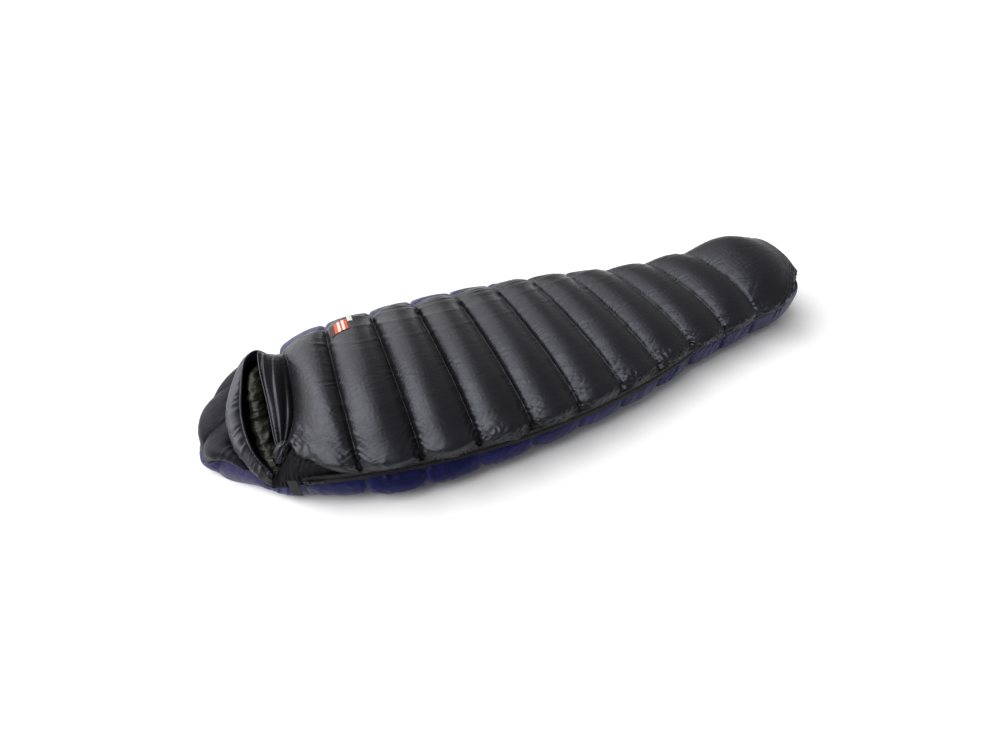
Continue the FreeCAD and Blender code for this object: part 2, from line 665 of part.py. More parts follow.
def main():
    pieces = {}
    pieces.update(top_chambers())
    pieces.update(belly_chambers())
    pieces.update(neck_chambers())
    pieces["foot_end_panel"] = foot_panel()
    pieces.update(hood_pieces())
    pieces["top_lining"] = skin(top_lining_ends, TOP_WALL, DOME_POINTS)
    pieces["bottom_lining"] = skin(bottom_lining_ends, BELLY_WALL, BELLY_POINTS)
    pieces["neck_draft_collar"] = collar()
    pieces.update(zip_chain())
    pieces.update(zip_strips())
    pieces["leg_side_seam"] = leg_seam()
    pieces["zip_slider"] = zip_place(zip_slider(), SLIDER_START_X)
    pieces["zip_pull_tab"] = zip_place(pull_tab(), SLIDER_START_X)
    pieces.update(closing_tab())
    pieces.update(hem_pieces())
    pieces.update(cord_locks())
    pieces.update(labels())
    pieces.update(hang_loops())
    os.makedirs("parts", exist_ok=True)
    total = 0.0
    for name, shape in pieces.items():
        shape.exportStep(f"parts/{name}.step")
        total += shape.Volume
        state = f"valid {shape.isValid()} solids {len(shape.Solids)}"
        print(f"{name:24s} {state} volume {shape.Volume / 1e3:.2f} cm3")
    print(f"{len(pieces)} nodes, {total / 1e9:.4f} m3")
    last = zip_angle(ZIP_FOOT_X - STOP_LENGTH - SLIDER_LENGTH)
    print("zip centre", zip_centre(), "travel in degrees", last - zip_angle(SLIDER_START_X))
    print("pull tab pivot", zip_place(Part.Vertex(slider_pivot()), SLIDER_START_X).Point)
    print("closing tab hinge", tab_hinge())


main()
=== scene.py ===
"""Looks of the mummy sleeping bag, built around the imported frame. Metres, in the frame of the CAD model."""
import math

import bpy
import numpy as np
from mathutils import Matrix, Vector, noise as crumple


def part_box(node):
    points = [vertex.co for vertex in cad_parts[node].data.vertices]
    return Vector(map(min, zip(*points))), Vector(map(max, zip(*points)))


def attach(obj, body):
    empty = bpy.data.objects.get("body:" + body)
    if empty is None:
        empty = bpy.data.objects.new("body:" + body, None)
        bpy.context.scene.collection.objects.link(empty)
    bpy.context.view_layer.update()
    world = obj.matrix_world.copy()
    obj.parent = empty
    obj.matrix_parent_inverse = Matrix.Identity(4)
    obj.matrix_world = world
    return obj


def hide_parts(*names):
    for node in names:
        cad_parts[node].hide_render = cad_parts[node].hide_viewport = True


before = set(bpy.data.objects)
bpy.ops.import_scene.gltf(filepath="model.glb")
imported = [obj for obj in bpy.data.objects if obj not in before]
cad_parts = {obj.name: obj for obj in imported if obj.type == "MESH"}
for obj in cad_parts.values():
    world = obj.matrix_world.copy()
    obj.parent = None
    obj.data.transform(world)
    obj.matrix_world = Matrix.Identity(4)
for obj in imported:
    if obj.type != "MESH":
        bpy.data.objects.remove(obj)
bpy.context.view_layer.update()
SCENE = bpy.context.scene

# The bag's plan and profile at its seams.
ZIP_RADIUS = 1.950
ZIP_MIDDLE_X = -0.190
WIDEST = 0.389
ZIP_Z = 0.100
ZIP_FOOT_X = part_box("zip_tape_top")[1].x
FOOT_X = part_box("top_chamber_11")[1].x
LEG_WIDTHS = [(0.460, 0.2775), (0.607, 0.250), (0.762, 0.222), (0.900, 0.195), (1.000, 0.167)]
NECK_WIDTHS = [(-0.826, 0.268), (-0.800, 0.285), (-0.769, 0.301)]
VALLEY_HEIGHTS = [(-0.826, 0.236), (-0.770, 0.206), (-0.628, 0.208), (-0.474, 0.195), (-0.319, 0.181),
                  (-0.165, 0.170), (-0.010, 0.161), (0.144, 0.154), (0.298, 0.151), (0.453, 0.155),
                  (0.607, 0.165), (0.762, 0.188), (0.900, 0.207), (1.000, 0.205)]
TILT = [(-0.826, 0.16), (-0.770, 0.14), (-0.628, 0.05), (-0.474, 0.0), (0.700, 0.0), (0.900, 0.10),
        (1.000, 0.15)]
FAR_SEAM_TURN = [(-0.826, 0.96), (-0.700, 0.97), (-0.620, 0.88), (-0.500, 0.82), (-0.165, 0.70),
                 (-0.010, 0.55), (0.144, 0.34), (0.762, 0.28), (1.000, 0.28)]
NEAR_SEAM = [(-0.826, 0.100), (0.820, 0.100), (0.870, 0.106), (0.920, 0.124), (0.960, 0.144), (1.000, 0.160)]
NEAR_SPREAD = [(-0.770, 0.000), (-0.700, 0.006), (-0.600, 0.026), (-0.480, 0.031), (-0.350, 0.021),
               (-0.190, 0.009), (0.000, 0.002), (0.150, 0.000), (1.000, 0.000)]
DOME_POWER = 2.27
BELLY_POWER = 4.0
TOP_PUFFS = [(-0.770, 0.032), (-0.628, 0.044), (-0.480, 0.053), (-0.320, 0.050), (-0.165, 0.043),
             (0.144, 0.034), (0.700, 0.029), (0.900, 0.043), (1.000, 0.026)]
SIDE_SHARE = 0.45
FOOT_LEAN = 0.026
FOOT_LEAN_FROM_X = 0.90
GATHER = Vector((-0.822, -0.192, 0.104))
GATHER_LUMP_SHIFT = Vector((0.010, 0.004, 0.012))
NECK_END_X = -0.769

# Camera: focal length of a frame 36 mm wide, where it stands, what it looks at and its roll.
LENS_MM = 18.0
CAMERA_AT = (-0.5713, -1.2302, 1.1290)
CAMERA_AIM = (-0.1287, -0.0553, 0.0800)
CAMERA_ROLL = math.radians(-2.53)


def smooth(table, x):
    """Smooth curve through the rows (x, value) of a table; x is a number or an array."""
    xs, ys = np.array(table, float).T
    slopes = np.empty(len(xs))
    slopes[1:-1] = (ys[2:] - ys[:-2]) / (xs[2:] - xs[:-2])
    slopes[0] = (ys[1] - ys[0]) / (xs[1] - xs[0])
    slopes[-1] = (ys[-1] - ys[-2]) / (xs[-1] - xs[-2])
    x = np.clip(x, xs[0], xs[-1])
    i = np.clip(np.searchsorted(xs, x, side="right") - 1, 0, len(xs) - 2)
    span = xs[i + 1] - xs[i]
    s = (x - xs[i]) / span
    rise = s * s * (3 - 2 * s)
    return (ys[i] * (1 - rise) + ys[i + 1] * rise + span * slopes[i] * s * (1 - s) ** 2
            - span * slopes[i + 1] * s * s * (1 - s))


def half_width(x):
    arc = WIDEST - ZIP_RADIUS + np.sqrt(ZIP_RADIUS ** 2 - (np.asarray(x) - ZIP_MIDDLE_X) ** 2)
    body = np.where(x > LEG_WIDTHS[0][0], smooth(LEG_WIDTHS, x), arc)
    return np.where(x < NECK_END_X, smooth(NECK_WIDTHS, x), body)


def section(x, turn, out):
    """Points of the cross-section at x, out metres outside the seam surface.

    turn is 0 at the far side, pi/2 at the top, pi at the zip and -pi/2 underneath.
    """
    half = half_width(x) + np.where(out > 0, SIDE_SHARE, 1.0) * out
    across, up = np.cos(turn), np.sin(turn)
    y_top = half * np.sign(across) * np.abs(across) ** (2 / DOME_POWER)
    rise = smooth(VALLEY_HEIGHTS, x) + out - ZIP_Z
    z_top = ZIP_Z + rise * np.abs(up) ** (2 / DOME_POWER) * (1 + smooth(TILT, x) * y_top / half)
    y_low = half * np.sign(across) * np.abs(across) ** (2 / BELLY_POWER)
    z_low = ZIP_Z - (ZIP_Z + out) * np.abs(up) ** (2 / BELLY_POWER)
    top = up >= 0
    return np.stack([x + 0 * turn, np.where(top, y_top, y_low), np.where(top, z_top, z_low)], -1)


def catmull(points, n):
    """n points evenly spaced along a smooth curve through the given points."""
    p = np.array(points, float)
    p = np.vstack([2 * p[0] - p[1], p, 2 * p[-1] - p[-2]])
    t = np.linspace(0, 1, 24, endpoint=False)[:, None]
    rows = []
    for a, b, c, d in zip(p, p[1:], p[2:], p[3:]):
        rows.append(0.5 * (2 * b + (c - a) * t + (2 * a - 5 * b + 4 * c - d) * t ** 2
                           + (3 * b - a - 3 * c + d) * t ** 3))
    return evenly(np.vstack(rows + [p[-2:-1]]), n)


def evenly(line, n):
    along = np.concatenate([[0], np.cumsum(np.linalg.norm(np.diff(line, axis=0), axis=1))])
    at = np.linspace(0, along[-1], n)
    return np.stack([np.interp(at, along, line[:, k]) for k in range(3)], -1)


# Meshes and cloth: wrinkles are (pitch, reach) pairs, first those that the simulation starts from.

PANELS = []
CLOTH_FRAMES = 18
FLOOR_CLEAR = 0.0015
WIDE_GATHERS = ((0.026, 0.026), (0.050, 0.050))
FINE_GATHERS = ((0.0105, 0.012), (0.017, 0.022))
FINE_SHARE = 0.45
CREASE = 0.0042
CREASE_SHARES = ((-2, 0.2), (-1, 0.55), (0, 1.0), (1, 0.55), (2, 0.2))
CORNERS = ((1, 0), (0, 1), (-1, 0), (0, -1))


def linked(name, data):
    """Object of that data, placed in the scene."""
    piece = bpy.data.objects.new(name, data)
    SCENE.collection.objects.link(piece)
    return piece


def grid_mesh(name, grid, closed=False):
    """Mesh object of a (rows, columns, 3) grid of points; closed joins the last column to the first."""
    rows, cols = grid.shape[:2]
    index = np.arange(rows * cols).reshape(rows, cols)
    if closed:
        index = np.hstack([index, index[:, :1]])
    quads = np.stack([index[:-1, :-1], index[1:, :-1], index[1:, 1:], index[:-1, 1:]], -1).reshape(-1, 4)
    mesh = bpy.data.meshes.new(name)
    mesh.from_pydata(grid.reshape(-1, 3).tolist(), [], quads.tolist())
    mesh.polygons.foreach_set("use_smooth", [True] * len(mesh.polygons))
    mesh.update()
    return linked(name, mesh)


class Panel:
    """A sewn panel of fabric as a (rows, columns, 3) grid, its stitched rows and columns, and what holds it.

    slack is how much longer than its seams the fabric is cut, along the rows and along the columns.
    """

    def __init__(self, name, grid, seam_u, seam_v, slack, pressure, cap, depth, held=None):
        self.name = name
        self.seam_u, self.seam_v = seam_u, seam_v
        self.slack, self.pressure, self.cap = slack, pressure, cap
        self.depth = depth + np.zeros(grid.shape[:2])
        self.held = seam_u[:, None] | seam_v[None, :]
        if held is not None:
            self.held |= held
        self.seed = sum(map(ord, name))
        self.grid = self.gathered(grid, WIDE_GATHERS, 1.0)
        PANELS.append(self)

    def gathered(self, grid, scales, share):
        """The grid with wrinkles that start at its seams: scales are (pitch, reach) pairs in metres."""
        rng = np.random.default_rng(self.seed)
        along_u, along_v = run_lengths(grid, 0), run_lengths(grid, 1)
        lift = gathers(along_v, seam_distance(along_u, self.seam_u, 0), scales, rng)
        lift = lift + gathers(along_u, seam_distance(along_v, self.seam_v, 1), scales, rng)
        free = np.where(self.held, 0.0, 1.0)
        return grid + grid_normals(grid) * (share * self.depth * lift * free)[:, :, None]

    def simulate(self):
        """A temporary cloth object: larger when flat than where it is sewn, and pushed out by the filling."""
        rows, cols = self.grid.shape[:2]
        step_u = np.linalg.norm(np.diff(self.grid, axis=0), axis=2).mean(1) * (1 + self.slack[0])
        step_v = np.linalg.norm(np.diff(self.grid, axis=1), axis=2) * (1 + self.slack[1])
        u = np.concatenate([[0], np.cumsum(step_u)])
        v = np.hstack([np.zeros((rows, 1)), np.cumsum(step_v, axis=1)])
        flat = np.stack([np.repeat(u[:, None], cols, 1), v - v[:, -1:] / 2, 0 * v], -1)
        piece = grid_mesh(self.name + "_cloth", self.grid)
        piece.shape_key_add(name="Basis")
        rest = piece.shape_key_add(name="rest")
        rest.data.foreach_set("co", flat.ravel())
        group = piece.vertex_groups.new(name="pin")
        group.add([int(i) for i in np.flatnonzero(self.held.ravel())], 1.0, "REPLACE")
        cloth = piece.modifiers.new("cloth", "CLOTH")
        settings = cloth.settings
        settings.quality = 4
        settings.mass = 0.10
        settings.air_damping = 1.5
        settings.tension_stiffness = 12
        settings.compression_stiffness = 12
        settings.shear_stiffness = 3
        settings.bending_stiffness = 0.02
        settings.vertex_group_mass = "pin"
        settings.rest_shape_key = rest
        settings.use_pressure = True
        settings.uniform_pressure_force = self.pressure
        settings.effector_weights.gravity = 0
        cloth.point_cache.frame_end = CLOTH_FRAMES
        self.piece = piece

    def settle(self, graph):
        """Takes over the simulated shape, with no point further than cap from where it started."""
        before = self.grid.reshape(-1, 3)
        co = np.empty(before.size)
        self.piece.evaluated_get(graph).data.vertices.foreach_get("co", co)
        move = co.reshape(-1, 3) - before
        far = np.linalg.norm(move, axis=1, keepdims=True)
        move *= self.cap * np.tanh(far / self.cap) / np.maximum(far, 1e-9)
        self.grid = (before + move).reshape(self.grid.shape)
        self.grid[:, :, 2] = np.maximum(self.grid[:, :, 2], FLOOR_CLEAR)

    def finish(self):
        """The finished piece: twice as many points each way, and the finest gathers."""
        for axis, seam in ((0, "seam_u"), (1, "seam_v")):
            self.grid = finer(self.grid, axis)
            wide = np.zeros(2 * len(getattr(self, seam)) - 1, bool)
            wide[::2] = getattr(self, seam)
            setattr(self, seam, wide)
        self.held = self.seam_u[:, None] | self.seam_v[None, :]
        self.crease()
        self.depth = np.repeat(np.repeat(self.depth, 2, axis=0), 2, axis=1)[:-1, :-1]
        grid = self.gathered(self.grid, FINE_GATHERS, FINE_SHARE)
        grid[:, :, 2] = np.maximum(grid[:, :, 2], FLOOR_CLEAR)
        return grid_mesh(self.name, grid)

    def crease(self):
        """Draws the seams between chambers in, so that each lies in a narrow fold."""
        inward = -grid_normals(self.grid)
        last = len(self.grid) - 1
        for row in np.flatnonzero(self.seam_u):
            for step, share in CREASE_SHARES:
                if 0 < row < last and 0 < row + step < last:
                    self.grid[row + step] += inward[row] * CREASE * share


def run_lengths(grid, axis):
    """Length run along the grid lines of one axis, at every point."""
    steps = np.linalg.norm(np.diff(grid, axis=axis), axis=2)
    first = np.zeros_like(steps[:1]) if axis == 0 else np.zeros_like(steps[:, :1])
    return np.concatenate([first, np.cumsum(steps, axis=axis)], axis=axis)


def seam_distance(along, seam, axis):
    """Distance to the nearest seam, along the grid lines of one axis."""
    if not seam.any():
        return np.full(along.shape, 9.0)
    lines = along[seam] if axis == 0 else along[:, seam].T
    gaps = [abs(along - (line[None, :] if axis == 0 else line[:, None])) for line in lines]
    return np.min(gaps, axis=0)


def gathers(s, d, scales, rng):
    """Height of the wrinkles beside a seam: s runs along the seam and d is the distance from it."""
    total = np.zeros_like(s)
    for pitch, reach in scales:
        place = s / pitch
        knots = np.arange(-3, place.max() + 4)
        shift = np.interp(place, knots, rng.uniform(-0.9, 0.9, len(knots)))
        slant = np.interp(place / 4, knots, rng.uniform(-2.2, 2.2, len(knots)))
        size = np.interp(place / 1.4, knots, rng.uniform(0.0, 1.0, len(knots)) ** 1.5)
        patch = 0.35 + 1.1 * np.interp(place / 6, knots, rng.uniform(0.0, 1.0, len(knots)) ** 1.5)
        length = reach * (0.5 + size + 0.4 * patch)
        ridge = 1 - abs(np.sin(math.pi * (place + shift + slant * d / (4 * pitch))))
        fade = np.exp(-(d / length) ** 1.6) * (1 - np.exp(-d / 0.004))
        total += size * patch * (ridge ** 1.3 - 0.32) * fade
    return total


def finer(grid, axis):
    """The grid with a new point between every two, on the cubic through four neighbours."""
    g = np.moveaxis(grid, axis, 0)
    p = np.concatenate([2 * g[:1] - g[1:2], g, 2 * g[-1:] - g[-2:-1]])
    between = (9 * (p[1:-2] + p[2:-1]) - p[:-3] - p[3:]) / 16
    wide = np.empty((2 * len(g) - 1,) + g.shape[1:])
    wide[::2], wide[1::2] = g, between
    return np.moveaxis(wide, 0, axis)


def run_cloths():
    """Steps every panel together and leaves plain grids."""
    for panel in PANELS:
        panel.simulate()
    for number in range(1, CLOTH_FRAMES + 1):
        SCENE.frame_set(number)
    graph = bpy.context.evaluated_depsgraph_get()
    for panel in PANELS:
        panel.settle(graph)
    for panel in PANELS:
        bpy.data.objects.remove(panel.piece)
    SCENE.frame_set(1)


# Top and bottom of the body.

SEAMS = [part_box(f"top_chamber_{k:02d}")[0].x for k in range(1, 12)] + [FOOT_X]
TOP_CELL = 0.0070
BOTTOM_CELL = 0.0095
CHIN_ROWS = 14
CHIN_CREST = [(-0.818, -0.186, 0.112), (-0.822, -0.140, 0.134), (-0.822, -0.050, 0.172),
              (-0.824, 0.030, 0.212), (-0.823, 0.085, 0.234), (-0.820, 0.120, 0.237),
              (-0.811, 0.150, 0.203), (-0.802, 0.180, 0.165), (-0.802, 0.203, 0.136)]
NECK_SEAM = [(-0.808, -0.181, 0.116), (-0.786, -0.140, 0.126), (-0.766, -0.085, 0.140),
             (-0.757, -0.020, 0.158), (-0.755, 0.050, 0.178), (-0.757, 0.120, 0.190),
             (-0.765, 0.168, 0.176), (-0.784, 0.203, 0.150)]


def zip_gap(x):
    """Height left free for the zip on each side of it; beyond the zip the two shells meet."""
    return 0.010 if x < ZIP_FOOT_X else 0.003


def near_turn(x, z):
    """Turn, past the top, at which the near side of the cross-section at x is z high."""
    if z < ZIP_Z:
        return math.pi + math.asin(((ZIP_Z - z) / ZIP_Z) ** (BELLY_POWER / 2))
    rise = float((smooth(VALLEY_HEIGHTS, x) - ZIP_Z) * (1 - 0.9 * smooth(TILT, x)))
    return math.pi - math.asin(min(1.0, (z - ZIP_Z) / rise) ** (DOME_POWER / 2))


def near_seam(x):
    return float(smooth(NEAR_SEAM, x))


def lean_foot(grid):
    """Leans the end of the foot box outwards with height."""
    along = np.clip((grid[:, :, 0] - FOOT_LEAN_FROM_X) / (FOOT_X - FOOT_LEAN_FROM_X), 0, 1)
    grid[:, :, 0] += FOOT_LEAN * along ** 2 * (grid[:, :, 2] - 0.09) / 0.12
    return grid


def top_columns():
    """(chamber, share across it) of every row of the top shell, from the chin crest to the foot."""
    rows = [(-1, k / CHIN_ROWS) for k in range(CHIN_ROWS)]
    for k in range(len(SEAMS) - 1):
        count = max(8, round((SEAMS[k + 1] - SEAMS[k]) * 1.12 / TOP_CELL))
        rows += [(k, i / count) for i in range(count)]
    return rows + [(len(SEAMS) - 2, 1.0)]


def even_turns(x, first, last, out, count):
    """Turns of the cross-section at x, evenly spaced by length between two of them."""
    turns = np.linspace(first, last, 400)
    base = section(x, turns, out)
    along = np.concatenate([[0], np.cumsum(np.linalg.norm(np.diff(base, axis=0), axis=1))])
    return np.interp(np.linspace(0, along[-1], count), along, turns)


def top_column(x, puff, count):
    """Points across the top shell at x, from the zip to the far seam."""
    near = near_turn(x, near_seam(x) + zip_gap(x))
    turns = even_turns(x, near, float(smooth(FAR_SEAM_TURN, x)), 0.0, count)
    share = np.linspace(0, 1, count)
    fade = np.minimum(1, np.minimum(share / 0.05, (1 - share) / 0.10)) ** 0.5
    column = section(x, turns, puff * fade)
    column[:, 1] -= 0.020 * puff / 0.04 * np.exp(-((share - 0.055) / 0.038) ** 2)
    return column


def chamber_puff(k, u):
    last = len(SEAMS) - 2
    return math.sin(math.pi * (u * 0.86 if k == last else u)) ** 0.6


def chin_folds(u, share):
    """Long folds of the chin chamber that run to the gather."""
    wave = np.cos(math.pi * (2.7 * u + 0.45 * np.sin(4.2 * share + 0.6) + 0.5 * share)) ** 2
    return 0.010 * wave * np.sin(math.pi * share) ** 0.5 * math.sin(math.pi * u) ** 0.5


def gather_folds(grid, share):
    """Folds that fan out from the gather at the head of the zip, at about its height.

    They are wide enough for every fold to span several points of the grid.
    """
    away = grid - np.array(GATHER)
    reach = np.hypot(away[:, :, 0], away[:, :, 1])
    angle = np.arctan2(away[:, :, 1], away[:, :, 0])
    ridge = (0.5 + 0.5 * np.cos(9.0 * angle + 1.2 * np.sin(3 * angle) + 6.0 * reach)) ** 2
    level = np.exp(-(away[:, :, 2] / 0.07) ** 2)
    fade = np.exp(-(reach / 0.13) ** 1.5) * (1 - np.exp(-(reach / 0.05) ** 2))
    lift = 0.010 * (ridge - 0.35) * level * fade
    return grid + grid_normals(grid) * (lift * share)[:, :, None]


def neck_shift(x, count):
    """How far the first chamber is drawn from its plain cross-section at x towards the seam of the neck."""
    left = max(0.0, 1 - (x - SEAMS[0]) / (SEAMS[1] - SEAMS[0]))
    return (catmull(NECK_SEAM, count) - top_column(SEAMS[0], 0.0, count)) * left ** 1.6


def top_shell():
    count = round(0.98 / TOP_CELL)
    share = np.linspace(0, 1, count)
    crest, neck = catmull(CHIN_CREST, count), catmull(NECK_SEAM, count)
    grid, seam = [], []
    for k, u in top_columns():
        seam.append(u in (0.0, 1.0))
        if k < 0:
            bulge = 0.010 * math.sin(math.pi * u) * np.sin(math.pi * share) + chin_folds(u, share)
            grid.append(crest * (1 - u) + neck * u + bulge[:, None] * np.array([-0.35, -0.45, 0.82]))
            continue
        x = SEAMS[k] + (SEAMS[k + 1] - SEAMS[k]) * u
        column = top_column(x, float(smooth(TOP_PUFFS, x)) * chamber_puff(k, u), count)
        if k == 0:
            column = column + neck_shift(x, count)
        grid.append(column)
    grid, seam = lean_foot(np.array(grid)), np.array(seam)
    edges = np.zeros(count, bool)
    edges[[0, -1]] = True
    inside = seam_distance(run_lengths(grid, 0), seam, 0)
    grid = gather_folds(grid, 1 - np.exp(-inside / 0.015))
    chin = np.array([k < 0 for k, _ in top_columns()])[:, None]
    depth = (0.0050 + 0.0075 * np.exp(-(share / 0.18) ** 2)) * np.where(chin, 0.25, 1.0)
    return Panel("top_shell", grid, seam, edges, (0.04, 0.08), 4.0, 0.026, depth)


def bottom_column(x, puff, count):
    near = near_turn(x, near_seam(x) - zip_gap(x)) - 2 * math.pi
    turns = even_turns(x, float(smooth(FAR_SEAM_TURN, x)), near, -0.003, count)
    share = np.linspace(0, 1, count)
    fade = np.minimum(1, np.minimum(share / 0.08, (1 - share) / 0.05)) ** 0.5
    column = section(x, turns, -0.003 + puff * fade)
    column[:, 2] = np.maximum(column[:, 2], FLOOR_CLEAR)
    below = np.clip((ZIP_Z - zip_gap(x) - column[:, 2]) / 0.055, 0, 1)
    spread = float(smooth(NEAR_SPREAD, x) / half_width(x)) * np.sin(math.pi / 2 * below)
    column[:, 1] *= np.where(column[:, 1] < 0, 1 + spread, 1.0)
    return column


def bottom_shell():
    count = round(1.28 / BOTTOM_CELL)
    pull = np.array(NECK_SEAM[-1]) - top_column(SEAMS[0], 0.0, 9)[-1]
    reach = np.exp(-(np.linspace(0, 1, count) / 0.16) ** 2)[:, None]
    grid, seam = [], []
    for k in range(len(SEAMS) - 1):
        steps = max(6, round((SEAMS[k + 1] - SEAMS[k]) / BOTTOM_CELL))
        last = k == len(SEAMS) - 2
        for i in range(steps + last):
            u = i / steps
            x = SEAMS[k] + (SEAMS[k + 1] - SEAMS[k]) * u
            column = bottom_column(x, 0.016 * math.sin(math.pi * (u * 0.9 if last else u)) ** 0.6, count)
            if k == 0:
                column = column + pull * reach * (1 - u) ** 1.6
            grid.append(column)
            seam.append(u in (0.0, 1.0))
    grid = lean_foot(np.array(grid))
    edges = np.zeros(count, bool)
    edges[[0, -1]] = True
    return Panel("bottom_shell", grid, np.array(seam), edges, (0.05, 0.08), 3.0, 0.014, 0.0060,
                 held=grid[:, :, 2] < 0.004)


def foot_end(top, bottom):
    """End panel of the foot box: rings drawn in from the last rows of both shells to a domed middle."""
    loop = np.vstack([top.grid[-1], bottom.grid[-1][1:]])
    loop = evenly(np.vstack([loop, loop[:1]]), 181)[:-1]
    centre = np.array([FOOT_X, 0.0, 0.108])
    rows = 26
    rng = np.random.default_rng(3)
    turn = np.linspace(0, 1, len(loop), endpoint=False) * len(loop) / 7
    pleat = np.abs(np.sin(math.pi * (turn + np.interp(turn, np.arange(30), rng.uniform(-0.5, 0.5, 30)))))
    grid = np.empty((rows, len(loop), 3))
    for i in range(rows):
        share = i / (rows - 1)
        inward = 1 - 0.97 * share ** 1.2
        grid[i] = centre + (loop - centre) * inward
        grid[i, :, 0] += 0.018 * math.sin(math.pi / 2 * min(1, share * 1.7)) ** 0.8
        grid[i, :, 0] += 0.004 * (pleat - 0.5) * math.sin(math.pi * min(1, share * 1.6)) ** 0.7
    return grid_mesh("foot_end", grid, closed=True)


# Hood and neck.

RIM_EDGE = [(-0.850, -0.215, 0.070), (-0.885, -0.150, 0.115), (-0.897, -0.050, 0.155), (-0.885, 0.050, 0.190),
            (-0.866, 0.112, 0.220), (-0.842, 0.125, 0.236), (-0.820, 0.140, 0.224), (-0.800, 0.190, 0.150)]
RIM_SEAM = [(-0.862, -0.228, 0.040), (-0.905, -0.175, 0.075), (-0.935, -0.080, 0.105), (-0.935, 0.020, 0.130),
            (-0.915, 0.100, 0.158), (-0.884, 0.143, 0.184), (-0.848, 0.165, 0.190), (-0.802, 0.212, 0.130)]
CROWN_EDGE = [(-0.905, -0.175, 0.075), (-0.950, -0.108, 0.084), (-0.988, -0.088, 0.066),
              (-1.032, -0.058, 0.030), (-1.047, 0.015, 0.032), (-1.042, 0.075, 0.044),
              (-1.022, 0.125, 0.054), (-0.972, 0.165, 0.084), (-0.900, 0.188, 0.125),
              (-0.820, 0.208, 0.130)]
BASE_TOP = [(-0.752, -0.298, 0.085), (-0.800, -0.272, 0.066), (-0.840, -0.240, 0.045),
            (-0.866, -0.222, 0.036), *CROWN_EDGE, NECK_SEAM[-1]]
BASE_FLOOR = [(-0.752, -0.260, 0.002), (-0.820, -0.230, 0.002), (-0.870, -0.190, 0.002),
              (-0.936, -0.152, 0.002), (-0.994, -0.104, 0.002), (-1.026, -0.036, 0.002),
              (-1.030, 0.060, 0.002), (-1.000, 0.145, 0.002), (-0.930, 0.210, 0.002),
              (-0.845, 0.250, 0.002), (-0.752, 0.272, 0.002)]
INNER_MIDDLE = [(-0.855, -0.195, 0.060), (-0.915, -0.110, 0.075), (-0.945, 0.000, 0.085),
                (-0.935, 0.080, 0.105), (-0.900, 0.145, 0.130), (-0.850, 0.180, 0.130),
                (-0.800, 0.205, 0.090)]
INNER_FLOOR = [(-0.800, -0.190, 0.030), (-0.900, -0.130, 0.028), (-0.935, -0.040, 0.028),
               (-0.930, 0.060, 0.028), (-0.900, 0.140, 0.028), (-0.850, 0.170, 0.028),
               (-0.790, 0.180, 0.028)]
COLLAR_ROUTE = [(-0.778, -0.214, 0.040), (-0.806, -0.212, 0.050), (-0.834, -0.194, 0.066),
                (-0.846, -0.150, 0.086), (-0.854, -0.085, 0.108), (-0.856, -0.010, 0.138),
                (-0.848, 0.050, 0.165), (-0.836, 0.100, 0.180), (-0.815, 0.150, 0.150),
                (-0.800, 0.180, 0.100)]


def loft(ribs, rows, cols):
    """Grid of points on a smooth surface through the ribs, which are curves through listed points."""
    lines = np.array([catmull(rib, cols) for rib in ribs])
    if len(ribs) == 2:
        t = np.linspace(0, 1, rows)[:, None, None]
        return lines[0] * (1 - t) + lines[1] * t
    grid = np.empty((rows, cols, 3))
    for j in range(cols):
        grid[:, j] = catmull(lines[:, j], rows)
    return grid


def grid_normals(grid):
    du = np.gradient(grid, axis=0)
    dv = np.gradient(grid, axis=1)
    n = np.cross(du, dv)
    return n / np.maximum(np.linalg.norm(n, axis=2, keepdims=True), 1e-9)


def seam_shares(cuts, count):
    """Share across its chamber (0 to 1) of each of count places, between the cuts (shares of the whole)."""
    place = np.linspace(0, 1, count)
    cuts = np.array(cuts)
    k = np.clip(np.searchsorted(cuts, place, side="right") - 1, 0, len(cuts) - 2)
    return (place - cuts[k]) / (cuts[k + 1] - cuts[k])


def near_cut(cuts, count):
    place = np.linspace(0, 1, count)
    found = np.zeros(count, bool)
    for cut in cuts:
        found[np.argmin(abs(place - cut))] = True
    return found


def puffed(name, ribs, rows, cols, puff, cuts_u=(0, 1), cuts_v=(0, 1), pressure=4.0, cap=0.02,
           slack=(0.06, 0.08), depth=0.005):
    """Padded chambers over a lofted surface: seams at the cuts, bulging by puff between them."""
    grid = loft(ribs, rows, cols)
    lift_u = np.sin(math.pi * seam_shares(cuts_u, rows)).clip(0) ** 0.6
    lift_v = np.sin(math.pi * seam_shares(cuts_v, cols)).clip(0) ** 0.6
    grid = grid + grid_normals(grid) * (puff * np.outer(lift_u, lift_v))[:, :, None]
    seam_u, seam_v = near_cut(cuts_u, rows), near_cut(cuts_v, cols)
    apart = seam_distance(run_lengths(grid, 0), seam_u, 0)
    grid = gather_folds(grid, 1 - np.exp(-apart / 0.01))
    grid[:, :, 2] = np.maximum(grid[:, :, 2], FLOOR_CLEAR)
    return Panel(name, grid, seam_u, seam_v, slack, pressure, cap, depth)


def beside(line, upright):
    """Unit directions to the side of a line and above it, at each of its points."""
    along = np.gradient(line, axis=0)
    along /= np.linalg.norm(along, axis=1, keepdims=True)
    side = np.cross(along, upright)
    side /= np.linalg.norm(side, axis=1, keepdims=True)
    return side, np.cross(side, along)


def capped(rings):
    """The rings of a tube with both of its ends closed."""
    ends = [np.repeat(ring.mean(0)[None, None], len(ring), 1) for ring in (rings[0], rings[-1])]
    return np.concatenate([ends[0], rings, ends[1]])


